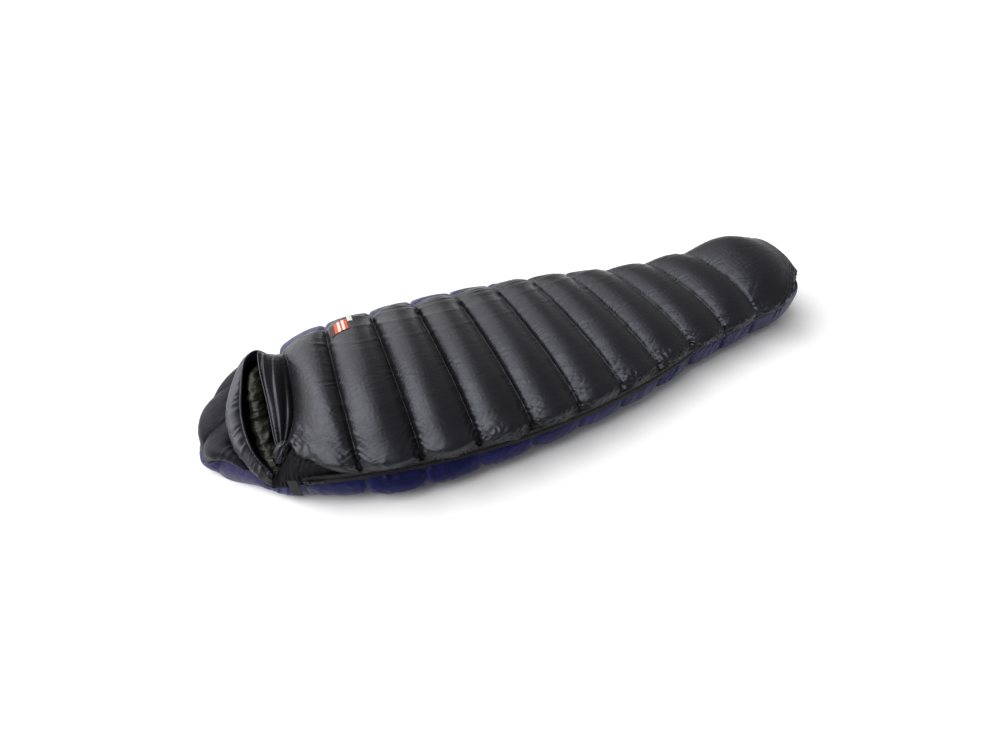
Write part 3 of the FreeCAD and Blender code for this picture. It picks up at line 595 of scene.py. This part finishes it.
def quilted_tube(name, route, radius, pitch, depth, rows, cols=40):
    """Stuffed tube along a route, with creases across it about pitch metres apart."""
    line = catmull(route, rows)
    side, up = beside(line, [0, 0, 1.0])
    length = np.linalg.norm(np.diff(line, axis=0), axis=1).sum()
    s = np.linspace(0, length, rows)
    angle = np.linspace(0, 2 * math.pi, cols, endpoint=False)
    around = [(0.9 * math.sin(t), 0.55 * math.cos(t), 0.55 * math.sin(t)) for t in angle]
    wave = np.array([[crumple.ridged_multi_fractal(Vector((a / pitch + x, y, z)), 0.9, 2.2, 2, 1.0, 2.0)
                      for x, y, z in around] for a in s])
    taper = np.sin(math.pi * np.linspace(0.07, 0.93, rows)) ** 0.45
    swell = 1 + 0.08 * np.sin(2 * angle + 5 * s[:, None] / length)
    r = radius * taper[:, None] * swell + depth * (wave - 1.2)
    spokes = np.cos(angle)[:, None] * side[:, None] + np.sin(angle)[:, None] * up[:, None]
    return grid_mesh(name, capped(line[:, None] + r[:, :, None] * spokes), closed=True)


def wad(name, centre, along, half_axes, depth):
    """Fabric drawn together by a cord into a crumpled lump, longest along the given direction."""
    rows, cols = 70, 110
    long_way = Vector(along).normalized()
    side = long_way.orthogonal().normalized()
    frame_axes = (long_way * half_axes[0], side * half_axes[1], long_way.cross(side) * half_axes[2])
    grid = np.empty((rows, cols, 3))
    for i, tilt in enumerate(np.linspace(0.02, math.pi - 0.02, rows)):
        for j in range(cols):
            turn = 2 * math.pi * j / cols
            out = Vector((math.cos(tilt), math.sin(tilt) * math.cos(turn), math.sin(tilt) * math.sin(turn)))
            seat = Vector((0.7 * out.x, 2.1 * out.y, 2.1 * out.z)) + WAD_SEED
            fold = crumple.ridged_multi_fractal(seat, 0.9, 2.1, 4, 1.0, 2.0)
            swell = 1 + depth * (fold - 1.2)
            spoke = sum((axis * size for axis, size in zip(frame_axes, out)), Vector())
            grid[i, j] = Vector(centre) + swell * spoke
    grid[:, :, 2] = np.maximum(grid[:, :, 2], 0.003)
    return grid_mesh(name, grid[::-1], closed=True)


WAD_SEED = Vector((3.1, 7.4, 1.7))


def hood_rim():
    puff = np.interp(np.linspace(0, 1, 100), (0, 0.45, 0.70, 1), (0.024, 0.026, 0.010, 0.004))
    return puffed("rim_quilt", [RIM_SEAM, RIM_EDGE], 20, 100, puff, cap=0.014, slack=(0.08, 0.14))


def hood_crown():
    puff = np.interp(np.linspace(0, 1, 100), (0, 0.55, 0.80, 1), (0.020, 0.020, 0.010, 0.002))
    return puffed("crown_quilt", [CROWN_EDGE, crown_middle(0.5), RIM_SEAM[1:]], 34, 100, puff,
                  cuts_v=(0, 0.36, 0.62, 1), cap=0.014, depth=0.0025)


def hood_base():
    return puffed("base_quilt", [BASE_FLOOR, base_middle(), BASE_TOP], 20, 180, 0.006,
                  cuts_v=(0, 0.16, 0.36, 0.58, 0.80, 1), pressure=2.5, cap=0.008, depth=0.0022)


def crown_middle(share):
    outer, inner = catmull(CROWN_EDGE, 9), catmull(RIM_SEAM[1:], 9)
    rise = np.interp(np.arange(9), (0, 2, 5, 7, 8), (0.2, 0.9, 1.0, 0.1, 0.0))[:, None]
    return outer * (1 - share) + inner * share + rise * np.array([-0.018, -0.012, 0.012])


def base_middle():
    top, low = catmull(BASE_TOP, 13), catmull(BASE_FLOOR, 13)
    outward = (top + low) / 2 - np.array([-0.80, 0.02, 0.06])
    outward[:, 2] = 0
    reach = np.interp(np.arange(13), (0, 1, 3, 5, 8, 12), (0.012, 0.014, 0.004, 0.014, 0.018, 0.012))[:, None]
    return (top + low) / 2 + reach * outward / np.linalg.norm(outward, axis=1, keepdims=True)


def strip(name, line, across, width, thick):
    """Flat tape of that width and thickness along a line; across is its width direction at each point."""
    along = np.gradient(line, axis=0)
    along /= np.linalg.norm(along, axis=1, keepdims=True)
    across = across / np.linalg.norm(across, axis=1, keepdims=True)
    out = np.cross(along, across)
    ring = []
    for w, t in ((-1, -1), (-0.94, -1), (0.94, -1), (1, -1), (1, 1), (0.94, 1), (-0.94, 1), (-1, 1)):
        ring.append(line + across * (w * width / 2) + out * (t * thick / 2))
    return grid_mesh(name, np.stack(ring, 1), closed=True)


def tube(name, line, radius, cols=12, wave=0.0, pitch=0.01):
    """Round tube along a line; wave is how far it is drawn in every pitch metres."""
    side, up = beside(line, [0.03, 0.02, 1.0])
    s = np.concatenate([[0], np.cumsum(np.linalg.norm(np.diff(line, axis=0), axis=1))])
    r = radius * (1 - wave * abs(np.sin(math.pi * s / pitch)))
    turns = np.linspace(0, 2 * math.pi, cols, endpoint=False)
    ring = [line + r[:, None] * (side * math.cos(t) + up * math.sin(t)) for t in turns]
    return grid_mesh(name, capped(np.stack(ring, 1)), closed=True)


def wires(name, runs, smoothed):
    """One mesh of thin four-sided wires; a run is a list of (middle, side, up), one for each ring."""
    corners, quads = [], []
    for run in runs:
        first = len(corners)
        for middle, side, up in run:
            corners += [middle + side * x + up * z for x, z in CORNERS]
        for ring in range(len(run) - 1):
            for k in range(4):
                i, j = first + 4 * ring + k, first + 4 * ring + (k + 1) % 4
                quads.append((i, j, j + 4, i + 4))
        last = first + 4 * (len(run) - 1)
        quads += [(first + 3, first + 2, first + 1, first), (last, last + 1, last + 2, last + 3)]
    mesh = bpy.data.meshes.new(name)
    mesh.from_pydata([tuple(c) for c in corners], [], quads)
    mesh.polygons.foreach_set("use_smooth", [smoothed] * len(mesh.polygons))
    return linked(name, mesh)


def dashes(name, lines, pitch, length, radius):
    """Sewing thread: a row of short stitches that lie along each line."""
    runs = []
    for line in lines:
        total = np.linalg.norm(np.diff(line, axis=0), axis=1).sum()
        places = evenly(line, max(4, int(total / pitch)))
        for a, b in zip(places[:-1], places[1:]):
            along = (b - a) / max(np.linalg.norm(b - a), 1e-9)
            side = np.cross(along, [0.1, 0.2, 1.0])
            side /= np.linalg.norm(side)
            up = np.cross(side, along)
            runs.append([(a + along * (length * shift), radius * size * side, radius * size * up)
                         for shift, size in ((0.0, 0.35), (0.2, 1.0), (0.8, 1.0), (1.0, 0.35))])
    return wires(name, runs, smoothed=False)


def zip_line(x0, x1, count, out=0.0, z=ZIP_Z):
    """Points on the zip's arc, out metres outside it."""
    first, last = (math.asin((x - ZIP_MIDDLE_X) / ZIP_RADIUS) for x in (x0, x1))
    turn = np.linspace(first, last, count)
    r = ZIP_RADIUS + out
    middle_y = ZIP_RADIUS - WIDEST
    return np.stack([ZIP_MIDDLE_X + r * np.sin(turn), middle_y - r * np.cos(turn), z + 0 * turn], -1)


THREAD_OUT = 0.0003


def stitch_seams(top, bottom):
    """Thread of the seams between chambers, on the finished shells."""
    for name, panel, material, slot in (
            ("top_thread", top, THREAD, "black_shell"), ("bottom_thread", bottom, NAVY_THREAD, "navy_shell")):
        lines = []
        for row in np.flatnonzero(panel.seam_u):
            lines.append(panel.grid[row] + grid_normals(panel.grid)[row] * THREAD_OUT)
        dress(dashes(name, lines, 0.0036, 0.0026, 0.00028), material)


def linings():
    """Smooth inner fabric of the hood, of the top quilt and of the bottom."""
    floor_line = [(-0.780, y, 0.024) for y in np.linspace(-0.20, 0.20, 5)]
    hood = loft([floor_line, INNER_FLOOR, INNER_MIDDLE, RIM_EDGE], 44, 90)
    count = 90
    stations = np.linspace(-0.74, FOOT_X - 0.012, 50)
    top = [np.array(catmull(CHIN_CREST, count)) + (0.003, 0.004, -0.003),
           np.array(catmull(NECK_SEAM, count)) + (-0.012, 0.012, -0.034)]
    bottom = []
    for x in stations:
        lift = 0.003 * math.sin(90 * x)
        far = float(smooth(FAR_SEAM_TURN, x))
        top.append(section(x, np.linspace(math.pi - 0.16, far, count), -0.020 + lift) + neck_shift(x, count))
        bottom.append(section(x, np.linspace(far, 0.06 - math.pi, count), -0.020 + lift))
    for name, grid, nodes in (("hood_lining_cloth", hood, ["hood_lining"]),
                              ("top_lining_cloth", np.array(top), ["top_lining"]),
                              ("bottom_lining_cloth", np.array(bottom), ["bottom_lining"])):
        piece = grid_mesh(name, grid)
        dress(piece, LINING)
        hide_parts(*nodes)


def sewn_parts(top, bottom):
    """Bound edges, cord, labels, side seam and loops."""
    rim = evenly(catmull(RIM_EDGE, 200), 200)
    hem = tube("face_hem", rim, 0.0042, wave=0.16, pitch=0.011)
    dress(hem, BLACK)
    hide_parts("hood_hem")
    cord = tube("face_drawcord", rim[2:-2] + (0.001, 0.0, -0.001), 0.0016)
    dress(cord, CORD)
    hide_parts("hood_drawcord")
    crest = catmull(CHIN_CREST, 200)
    dress(tube("chin_hem", crest, 0.0030, wave=0.14, pitch=0.012), BLACK)
    xs = np.linspace(ZIP_FOOT_X, FOOT_X - 0.003, 60)
    side = np.array([section(x, near_turn(x, near_seam(x)), 0.0015) for x in xs])
    side = lean_foot(side[None])[0]
    seam = strip("side_seam", side, np.tile([0, 0, 1.0], (60, 1)), 0.010, 0.0014)
    dress(seam, TAPE)
    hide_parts("leg_side_seam")
    for name in ("hang_loop_left", "hang_loop_right"):
        low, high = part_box(name)
        y, z = (low.y + high.y) / 2, (low.z + high.z) / 2
        tall = (high.z - low.z) / 2 - 0.001
        reach = [(low.x - 0.012, tall), (low.x + 0.004, tall), (high.x, 0.80 * tall), (high.x + 0.0035, 0.0),
                 (high.x, -0.80 * tall), (low.x + 0.004, -tall), (low.x - 0.012, -tall)]
        line = catmull([(x, y, z + up) for x, up in reach], 40)
        loop = strip("sewn_" + name, line, np.tile([0, 1.0, 0], (40, 1)), high.y - low.y, 0.0014)
        dress(loop, TAPE)
        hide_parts(name)
    labels(top)


def labels(top):
    """Woven label and folded tab, which lie on the quilt under them."""
    graph = bpy.context.evaluated_depsgraph_get()
    low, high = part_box("woven_label")
    xs, ys = np.linspace(low.x, high.x, 16), np.linspace(low.y, high.y, 20)
    draped(graph, top, "sewn_label", xs, ys, 0.0014, ORANGE, "woven_label")
    low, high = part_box("label_tab")
    xs, ys = np.linspace(low.x, high.x, 8), np.linspace(low.y, high.y, 10)
    draped(graph, top, "folded_tab", xs, ys, 0.0030, WHITE, "label_tab", stand=0.011)


def bake(piece):
    """Applies every modifier of the piece."""
    graph = bpy.context.evaluated_depsgraph_get()
    mesh = bpy.data.meshes.new_from_object(piece.evaluated_get(graph))
    piece.modifiers.clear()
    piece.data = mesh


def draped(graph, top, name, xs, ys, lift, material, node, stand=0.0):
    """Piece of ribbon that lies on the quilt; its far edge stands up by stand metres."""
    grid = np.empty((len(xs), len(ys), 3))
    for i, x in enumerate(xs):
        for j, y in enumerate(ys):
            _, place, _, _ = top.ray_cast(Vector((x, y, 0.5)), Vector((0, 0, -1)), depsgraph=graph)
            grid[i, j] = (x, y, place.z)
    smooth_z = grid[:, :, 2].copy()
    for _ in range(6):
        wide = np.pad(smooth_z, 1, mode="edge")
        smooth_z = (wide[:-2, 1:-1] + wide[2:, 1:-1] + wide[1:-1, :-2] + wide[1:-1, 2:]) / 4
    grid[:, :, 2] = np.maximum(smooth_z, grid[:, :, 2]) + lift + stand * np.linspace(0, 1, len(ys))
    piece = grid_mesh(name, grid)
    thick = piece.modifiers.new("thick", "SOLIDIFY")
    thick.thickness = 0.0009
    thick.offset = 0
    bake(piece)
    dress(piece, material)
    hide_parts(node)


def zip_parts():
    """Coils of the zip, tooth by tooth, and the padded tube behind it."""
    pitch = 0.0024
    low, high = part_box("zip_coil_top")
    count = int((high.x - low.x) * 1.02 / pitch)
    for name, side, node in (("coil_top", 1, "zip_coil_top"), ("coil_bottom", -1, "zip_coil_bottom")):
        line = zip_line(low.x + 0.001, high.x - 0.001, count)
        if side < 0:
            line = (line[1:] + line[:-1]) / 2
        teeth = []
        for place in line:
            teeth.append(np.array([place + (0, -0.0010, side * 0.0040), place + (0, -0.0013, side * 0.0010),
                                   place + (0, -0.0004, -side * 0.0011), place + (0, 0.0008, side * 0.0010),
                                   place + (0, 0.0010, side * 0.0040)]))
        piece = teeth_mesh(name, teeth, 0.00055)
        dress(piece, COIL)
        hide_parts(node)
    low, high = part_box("draft_tube")
    inside = zip_line(low.x + 0.02, high.x - 0.01, 12, out=-0.030, z=(low.z + high.z) / 2)
    draft = quilted_tube("zip_draft_tube", inside, (high.z - low.z) / 2.3, 0.04, 0.003, 400, 20)
    dress(draft, LINING)
    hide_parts("draft_tube")


def teeth_mesh(name, lines, radius):
    """Teeth of a coil: each is a bent wire along its own short line."""
    runs = []
    side = np.array([1.0, 0, 0])
    for line in lines:
        along = np.gradient(line, axis=0)
        along /= np.linalg.norm(along, axis=1, keepdims=True)
        runs.append([(middle, radius * side, radius * np.cross(side, direction))
                     for middle, direction in zip(line, along)])
    return wires(name, runs, smoothed=True)


def carried_over():
    """Finishes of the CAD parts that show as they are."""
    looks = {"zip_tape": TAPE, "zip_top_stop": COIL, "zip_bottom_stop": COIL, "zip_slider": METAL,
             "zip_pull_tab": METAL, "closing_tab_hook": HOOKS, "closing_tab_loop": HOOKS, "closing_tab": TAPE,
             "hood_lock_spring": STEEL, "collar_lock_spring": STEEL, "hood_lock": PLASTIC,
             "collar_lock": PLASTIC, "anti_snag_tape": TAPE}
    for name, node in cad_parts.items():
        for start, material in looks.items():
            if name.startswith(start):
                node.data.materials.clear()
                node.data.materials.append(material)
                break


def hood_under():
    """The hood's underside, flat on the floor."""
    straight = [(-0.752, y, 0.002) for y in np.linspace(-0.26, 0.27, 9)]
    return grid_mesh("hood_under", loft([straight, BASE_FLOOR], 12, 80))


def gather_lump():
    """Fabric between the gather, the head of the zip and the near edge of the first chamber, dressed in a
    darker, duller copy of the black nylon: painted shade for the shaded band there.
    """
    low = [(-0.640, -0.329, 0.110), (-0.700, -0.313, 0.107), (-0.760, -0.298, 0.096), (-0.802, -0.274, 0.066),
           (-0.842, -0.241, 0.044), (-0.868, -0.218, 0.034)]
    high = [(-0.640, -0.331, 0.120), (-0.700, -0.296, 0.126), (-0.765, -0.232, 0.126),
            (-0.797, -0.198, 0.118), (-0.822, -0.203, 0.086), (-0.845, -0.212, 0.066),
            (-0.868, -0.208, 0.054)]
    puff = np.interp(np.linspace(0, 1, 60), (0, 0.3, 0.6, 0.75, 1), (0.000, 0.006, 0.012, 0.006, 0.006))
    return puffed("gather_lump", [low, high], 16, 60, puff, cap=0.008, slack=(0.12, 0.16), depth=0.007)


# Materials.

def nodes_of(material):
    material.use_nodes = True
    tree = material.node_tree
    tree.nodes.clear()
    out = tree.nodes.new("ShaderNodeOutputMaterial")
    shader = tree.nodes.new("ShaderNodeBsdfPrincipled")
    tree.links.new(shader.outputs[0], out.inputs[0])
    return tree, shader


def noise(tree, scale, detail=4.0, distortion=0.0, stretch=None):
    coord = tree.nodes.new("ShaderNodeTexCoord")
    node = tree.nodes.new("ShaderNodeTexNoise")
    node.inputs["Scale"].default_value = scale
    node.inputs["Detail"].default_value = detail
    node.inputs["Distortion"].default_value = distortion
    source = coord.outputs["Object"]
    if stretch:
        mapping = tree.nodes.new("ShaderNodeMapping")
        mapping.inputs["Scale"].default_value = stretch
        tree.links.new(source, mapping.inputs[0])
        source = mapping.outputs[0]
    tree.links.new(source, node.inputs["Vector"])
    return node.outputs["Fac"]


def ramp(tree, value, stops):
    node = tree.nodes.new("ShaderNodeValToRGB")
    while len(node.color_ramp.elements) < len(stops):
        node.color_ramp.elements.new(0.5)
    for element, (place, color) in zip(node.color_ramp.elements, stops):
        element.position = place
        element.color = (*color, 1.0) if len(color) == 3 else color
    tree.links.new(value, node.inputs[0])
    return node.outputs[0]


def bump(tree, height, strength, distance, normal=None):
    """Normal raised by a height; an earlier normal can be passed on."""
    node = tree.nodes.new("ShaderNodeBump")
    node.inputs["Strength"].default_value = strength
    node.inputs["Distance"].default_value = distance
    tree.links.new(height, node.inputs["Height"])
    if normal:
        tree.links.new(normal, node.inputs["Normal"])
    return node.outputs[0]


def nylon(name, dark, light, rough=(0.32, 0.48), crinkle=0.32, tint=(0.86, 0.87, 1.0), gloss=0.36):
    """Glossy downproof nylon: fine crinkles across the chambers, a plain weave and slow changes of shade."""
    material = bpy.data.materials.new(name)
    tree, shader = nodes_of(material)
    shade = ramp(tree, noise(tree, 9.0, 5.0, 0.6), [(0.3, dark), (0.75, light)])
    tree.links.new(shade, shader.inputs["Base Color"])
    gray = [(0.25, (rough[0],) * 3), (0.8, (rough[1],) * 3)]
    tree.links.new(ramp(tree, noise(tree, 60.0, 4.0, 0.8), gray), shader.inputs["Roughness"])
    shader.inputs["Specular IOR Level"].default_value = gloss
    shader.inputs["Specular Tint"].default_value = (*tint, 1.0)
    shader.inputs["Sheen Weight"].default_value = 0.04
    shader.inputs["Sheen Roughness"].default_value = 0.4
    normal = None
    for height, strength, distance in (
            (noise(tree, 30.0, 5.0, 1.2, (0.40, 1.5, 1.2)), crinkle, 0.0045),
            (noise(tree, 110.0, 4.0, 0.8, (0.6, 1.3, 1.2)), 0.5 * crinkle, 0.0016),
            (noise(tree, 900.0, 2.0, 0.0), 0.10, 0.0003)):
        normal = bump(tree, height, strength, distance, normal)
    tree.links.new(normal, shader.inputs["Normal"])
    return material


def woven(name, dark, light, threads, band=False):
    """Flat woven webbing or label: crossed threads, with a paler stripe across it if band is set."""
    material = bpy.data.materials.new(name)
    tree, shader = nodes_of(material)
    coord = tree.nodes.new("ShaderNodeTexCoord")
    weave = []
    for direction in ("X", "Y", "Z"):
        wave = tree.nodes.new("ShaderNodeTexWave")
        wave.bands_direction = direction
        wave.inputs["Scale"].default_value = threads / 6.28
        wave.inputs["Distortion"].default_value = 0.6
        tree.links.new(coord.outputs["Object"], wave.inputs["Vector"])
        weave.append(wave.outputs["Fac"])
    total = weave[0]
    for other in weave[1:]:
        add = tree.nodes.new("ShaderNodeMath")
        tree.links.new(total, add.inputs[0])
        tree.links.new(other, add.inputs[1])
        total = add.outputs[0]
    color = ramp(tree, noise(tree, 260.0, 4.0), [(0.3, dark), (0.7, light)])
    if band:
        color = label_marks(tree, coord, color)
    tree.links.new(color, shader.inputs["Base Color"])
    tree.links.new(ramp(tree, noise(tree, 180.0), [(0.3, (0.55,) * 3), (0.7, (0.75,) * 3)]),
                   shader.inputs["Roughness"])
    shader.inputs["Sheen Weight"].default_value = 0.04
    shader.inputs["Specular IOR Level"].default_value = 0.25
    tree.links.new(bump(tree, total, 0.5, 0.0004), shader.inputs["Normal"])
    return material


def label_marks(tree, coord, ground):
    """Plain woven pattern of the label: a dark band at one side and two pale bars."""
    low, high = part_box("woven_label")
    split = tree.nodes.new("ShaderNodeSeparateXYZ")
    tree.links.new(coord.outputs["Object"], split.inputs[0])
    share = tree.nodes.new("ShaderNodeMapRange")
    share.inputs["From Min"].default_value = low.x
    share.inputs["From Max"].default_value = high.x
    tree.links.new(split.outputs["X"], share.inputs["Value"])
    off, on = (0, 0, 0), (1, 1, 1)
    bars = ramp(tree, share.outputs[0], [(0.0, off), (0.42, off), (0.45, on), (0.55, on), (0.58, off),
                                         (0.66, off), (0.69, on), (0.79, on), (0.82, off)])
    dark = ramp(tree, share.outputs[0], [(0.0, off), (0.24, off), (0.27, on)])
    color = ground
    for mask, other, flip in ((bars, (0.60, 0.56, 0.52, 1.0), False), (dark, (0.05, 0.02, 0.02, 1.0), True)):
        mix = tree.nodes.new("ShaderNodeMix")
        mix.data_type = "RGBA"
        tree.links.new(mask, mix.inputs[0])
        tree.links.new(color, mix.inputs[7 if flip else 6])
        mix.inputs[6 if flip else 7].default_value = other
        color = mix.outputs[2]
    return color


def solid(name, color, rough, metallic):
    """Moulded or cast material with fine unevenness and rubbed, paler patches."""
    material = bpy.data.materials.new(name)
    tree, shader = nodes_of(material)
    paler = tuple(min(1.0, 1.7 * c + 0.004) for c in color)
    shade = ramp(tree, noise(tree, 240.0, 5.0), [(0.45, color), (0.8, paler)])
    tree.links.new(shade, shader.inputs["Base Color"])
    gray = [(0.3, (rough - 0.08,) * 3), (0.7, (rough + 0.12,) * 3)]
    tree.links.new(ramp(tree, noise(tree, 420.0, 4.0), gray), shader.inputs["Roughness"])
    shader.inputs["Metallic"].default_value = metallic
    tree.links.new(bump(tree, noise(tree, 1500.0, 3.0), 0.25, 0.0002), shader.inputs["Normal"])
    return material


BLACK = nylon("black_nylon", (0.003, 0.003, 0.004), (0.006, 0.006, 0.008))
CROWN = nylon("crown_nylon", (0.003, 0.003, 0.005), (0.006, 0.006, 0.010), rough=(0.42, 0.57), gloss=0.11)
# Darker, duller copy of the black nylon for the gather lump: painted shade, not a different fabric.
PAINTED_SHADE_BLACK = nylon("black_nylon_painted_shade", (0.0014, 0.0014, 0.0014), (0.003, 0.003, 0.0035), rough=(0.50, 0.65), gloss=0.07)
# Paler copy of the black nylon for the hood's rim: the lighter base colour is painted sheen for its shiny
# grey look.
RIM_PAINTED_SHEEN = nylon("rim_nylon_painted_sheen", (0.012, 0.012, 0.014), (0.024, 0.024, 0.028))
NAVY = nylon("navy_nylon", (0.004, 0.005, 0.030), (0.009, 0.009, 0.060), tint=(0.42, 0.42, 1.0), gloss=0.30)
OLIVE = nylon("collar_nylon", (0.004, 0.004, 0.003), (0.010, 0.010, 0.006), tint=(1.0, 0.98, 0.85),
              gloss=0.18)
LINING = nylon("lining_nylon", (0.016, 0.016, 0.036), (0.036, 0.034, 0.075), tint=(0.8, 0.78, 1.0))
THREAD = nylon("black_thread", (0.003, 0.003, 0.004), (0.006, 0.006, 0.008), (0.5, 0.6), 0.1, gloss=0.1)
NAVY_THREAD = nylon("navy_thread", (0.004, 0.004, 0.024), (0.008, 0.008, 0.044), (0.5, 0.6), 0.1, gloss=0.1)
TAPE = woven("woven_tape", (0.002, 0.002, 0.0025), (0.005, 0.005, 0.006), 900.0)
CORD = woven("braided_cord", (0.006, 0.006, 0.007), (0.030, 0.030, 0.032), 1400.0)
HOOKS = woven("hook_and_loop", (0.005, 0.005, 0.006), (0.024, 0.024, 0.026), 1700.0)
COIL = solid("coil_nylon", (0.008, 0.008, 0.009), 0.35, 0.0)
PLASTIC = solid("moulded_plastic", (0.010, 0.010, 0.011), 0.38, 0.0)
METAL = solid("slider_metal", (0.030, 0.030, 0.033), 0.36, 1.0)
STEEL = solid("spring_steel", (0.45, 0.45, 0.46), 0.28, 1.0)
ORANGE = woven("orange_weave", (0.42, 0.050, 0.016), (0.58, 0.100, 0.032), 1100.0, band=True)
WHITE = woven("white_weave", (0.62, 0.62, 0.60), (0.82, 0.82, 0.80), 1100.0)


def dress(piece, material, body="bag"):
    piece.data.materials.clear()
    piece.data.materials.append(material)
    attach(piece, body)


# Stage.

def look_at():
    back = (Vector(CAMERA_AT) - Vector(CAMERA_AIM)).normalized()
    across = Vector((0, 0, 1)).cross(back).normalized()
    up = back.cross(across)
    turn_cos, turn_sin = math.cos(CAMERA_ROLL), math.sin(CAMERA_ROLL)
    x_axis = across * turn_cos + up * turn_sin
    y_axis = up * turn_cos - across * turn_sin
    matrix = Matrix((x_axis, y_axis, back)).transposed().to_4x4()
    matrix.translation = Vector(CAMERA_AT)
    return matrix


def stage():
    camera = bpy.data.cameras.new("camera")
    camera.lens = LENS_MM
    camera.sensor_width = 36.0
    camera.clip_start = 0.01
    SCENE.camera = linked("camera", camera)
    SCENE.camera.matrix_world = look_at()
    floor = bpy.data.meshes.new("floor")
    floor.from_pydata([(-60, -60, 0), (60, -60, 0), (60, 60, 0), (-60, 60, 0)], [], [(0, 1, 2, 3)])
    ground = linked("floor", floor)
    pale = bpy.data.materials.new("floor")
    tree, shader = nodes_of(pale)
    shader.inputs["Base Color"].default_value = (0.84, 0.84, 0.84, 1)
    shader.inputs["Roughness"].default_value = 0.9
    floor.materials.append(pale)
    world = bpy.data.worlds.new("studio")
    world.use_nodes = True
    world.node_tree.nodes["Background"].inputs[0].default_value = (1, 1, 1, 1)
    world.node_tree.nodes["Background"].inputs[1].default_value = 0.38
    SCENE.world = world
    SCENE.view_settings.view_transform = "Standard"
    sun("key", (-0.64, 0.14, 0.72), 62, 3.7)
    sun("back", (-0.48, 0.74, 0.46), 80, 1.9)


def sun(name, toward, spread, strength):
    """Soft light from far away, as a large softbox seen under the angle spread in degrees."""
    light = bpy.data.lights.new(name, "SUN")
    light.angle = math.radians(spread)
    light.energy = strength
    linked(name, light).rotation_euler = Vector(toward).to_track_quat("Z", "Y").to_euler()


def soft_parts():
    """Every padded piece; the sewn panels among them are simulated together."""
    top, bottom, rim, crown, base, lump = (make() for make in (
        top_shell, bottom_shell, hood_rim, hood_crown, hood_base, gather_lump))
    run_cloths()
    foot = foot_end(top, bottom)
    under = hood_under()
    shells = (top, bottom)
    top, bottom, rim, crown, base, lump = (panel.finish() for panel in (top, bottom, rim, crown, base, lump))
    stitch_seams(*shells)
    collar = quilted_tube("draft_collar", COLLAR_ROUTE, 0.027, 0.030, 0.0055, 260, 48)
    gather = wad("gather", GATHER + GATHER_LUMP_SHIFT, (0.050, 0.022, 0.060), (0.032, 0.017, 0.020), 0.16)
    for piece, material, slot in (
            (top, BLACK, "black_shell"), (bottom, NAVY, "navy_shell"), (rim, RIM_PAINTED_SHEEN, "rim_shell"),
            (crown, CROWN, "black_shell"), (base, NAVY, "navy_shell"), (under, NAVY, "navy_shell"),
            (lump, PAINTED_SHADE_BLACK, "black_shell"), (collar, OLIVE, "collar_fabric"), (gather, BLACK, "black_shell"),
            (foot, NAVY, "navy_shell")):
        dress(piece, material)
    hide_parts("chin_chamber", *[f"top_chamber_{k:02d}" for k in range(1, 12)])
    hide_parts(*[f"bottom_chamber_{k:02d}" for k in range(1, 12)])
    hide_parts("hood_rim_baffle")
    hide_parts("hood_crown")
    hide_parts("hood_base", "neck_side_chamber")
    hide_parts("neck_draft_collar")
    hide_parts("foot_end_panel")
    linings()
    sewn_parts(top, bottom)
    zip_parts()
    carried_over()


stage()
soft_parts()
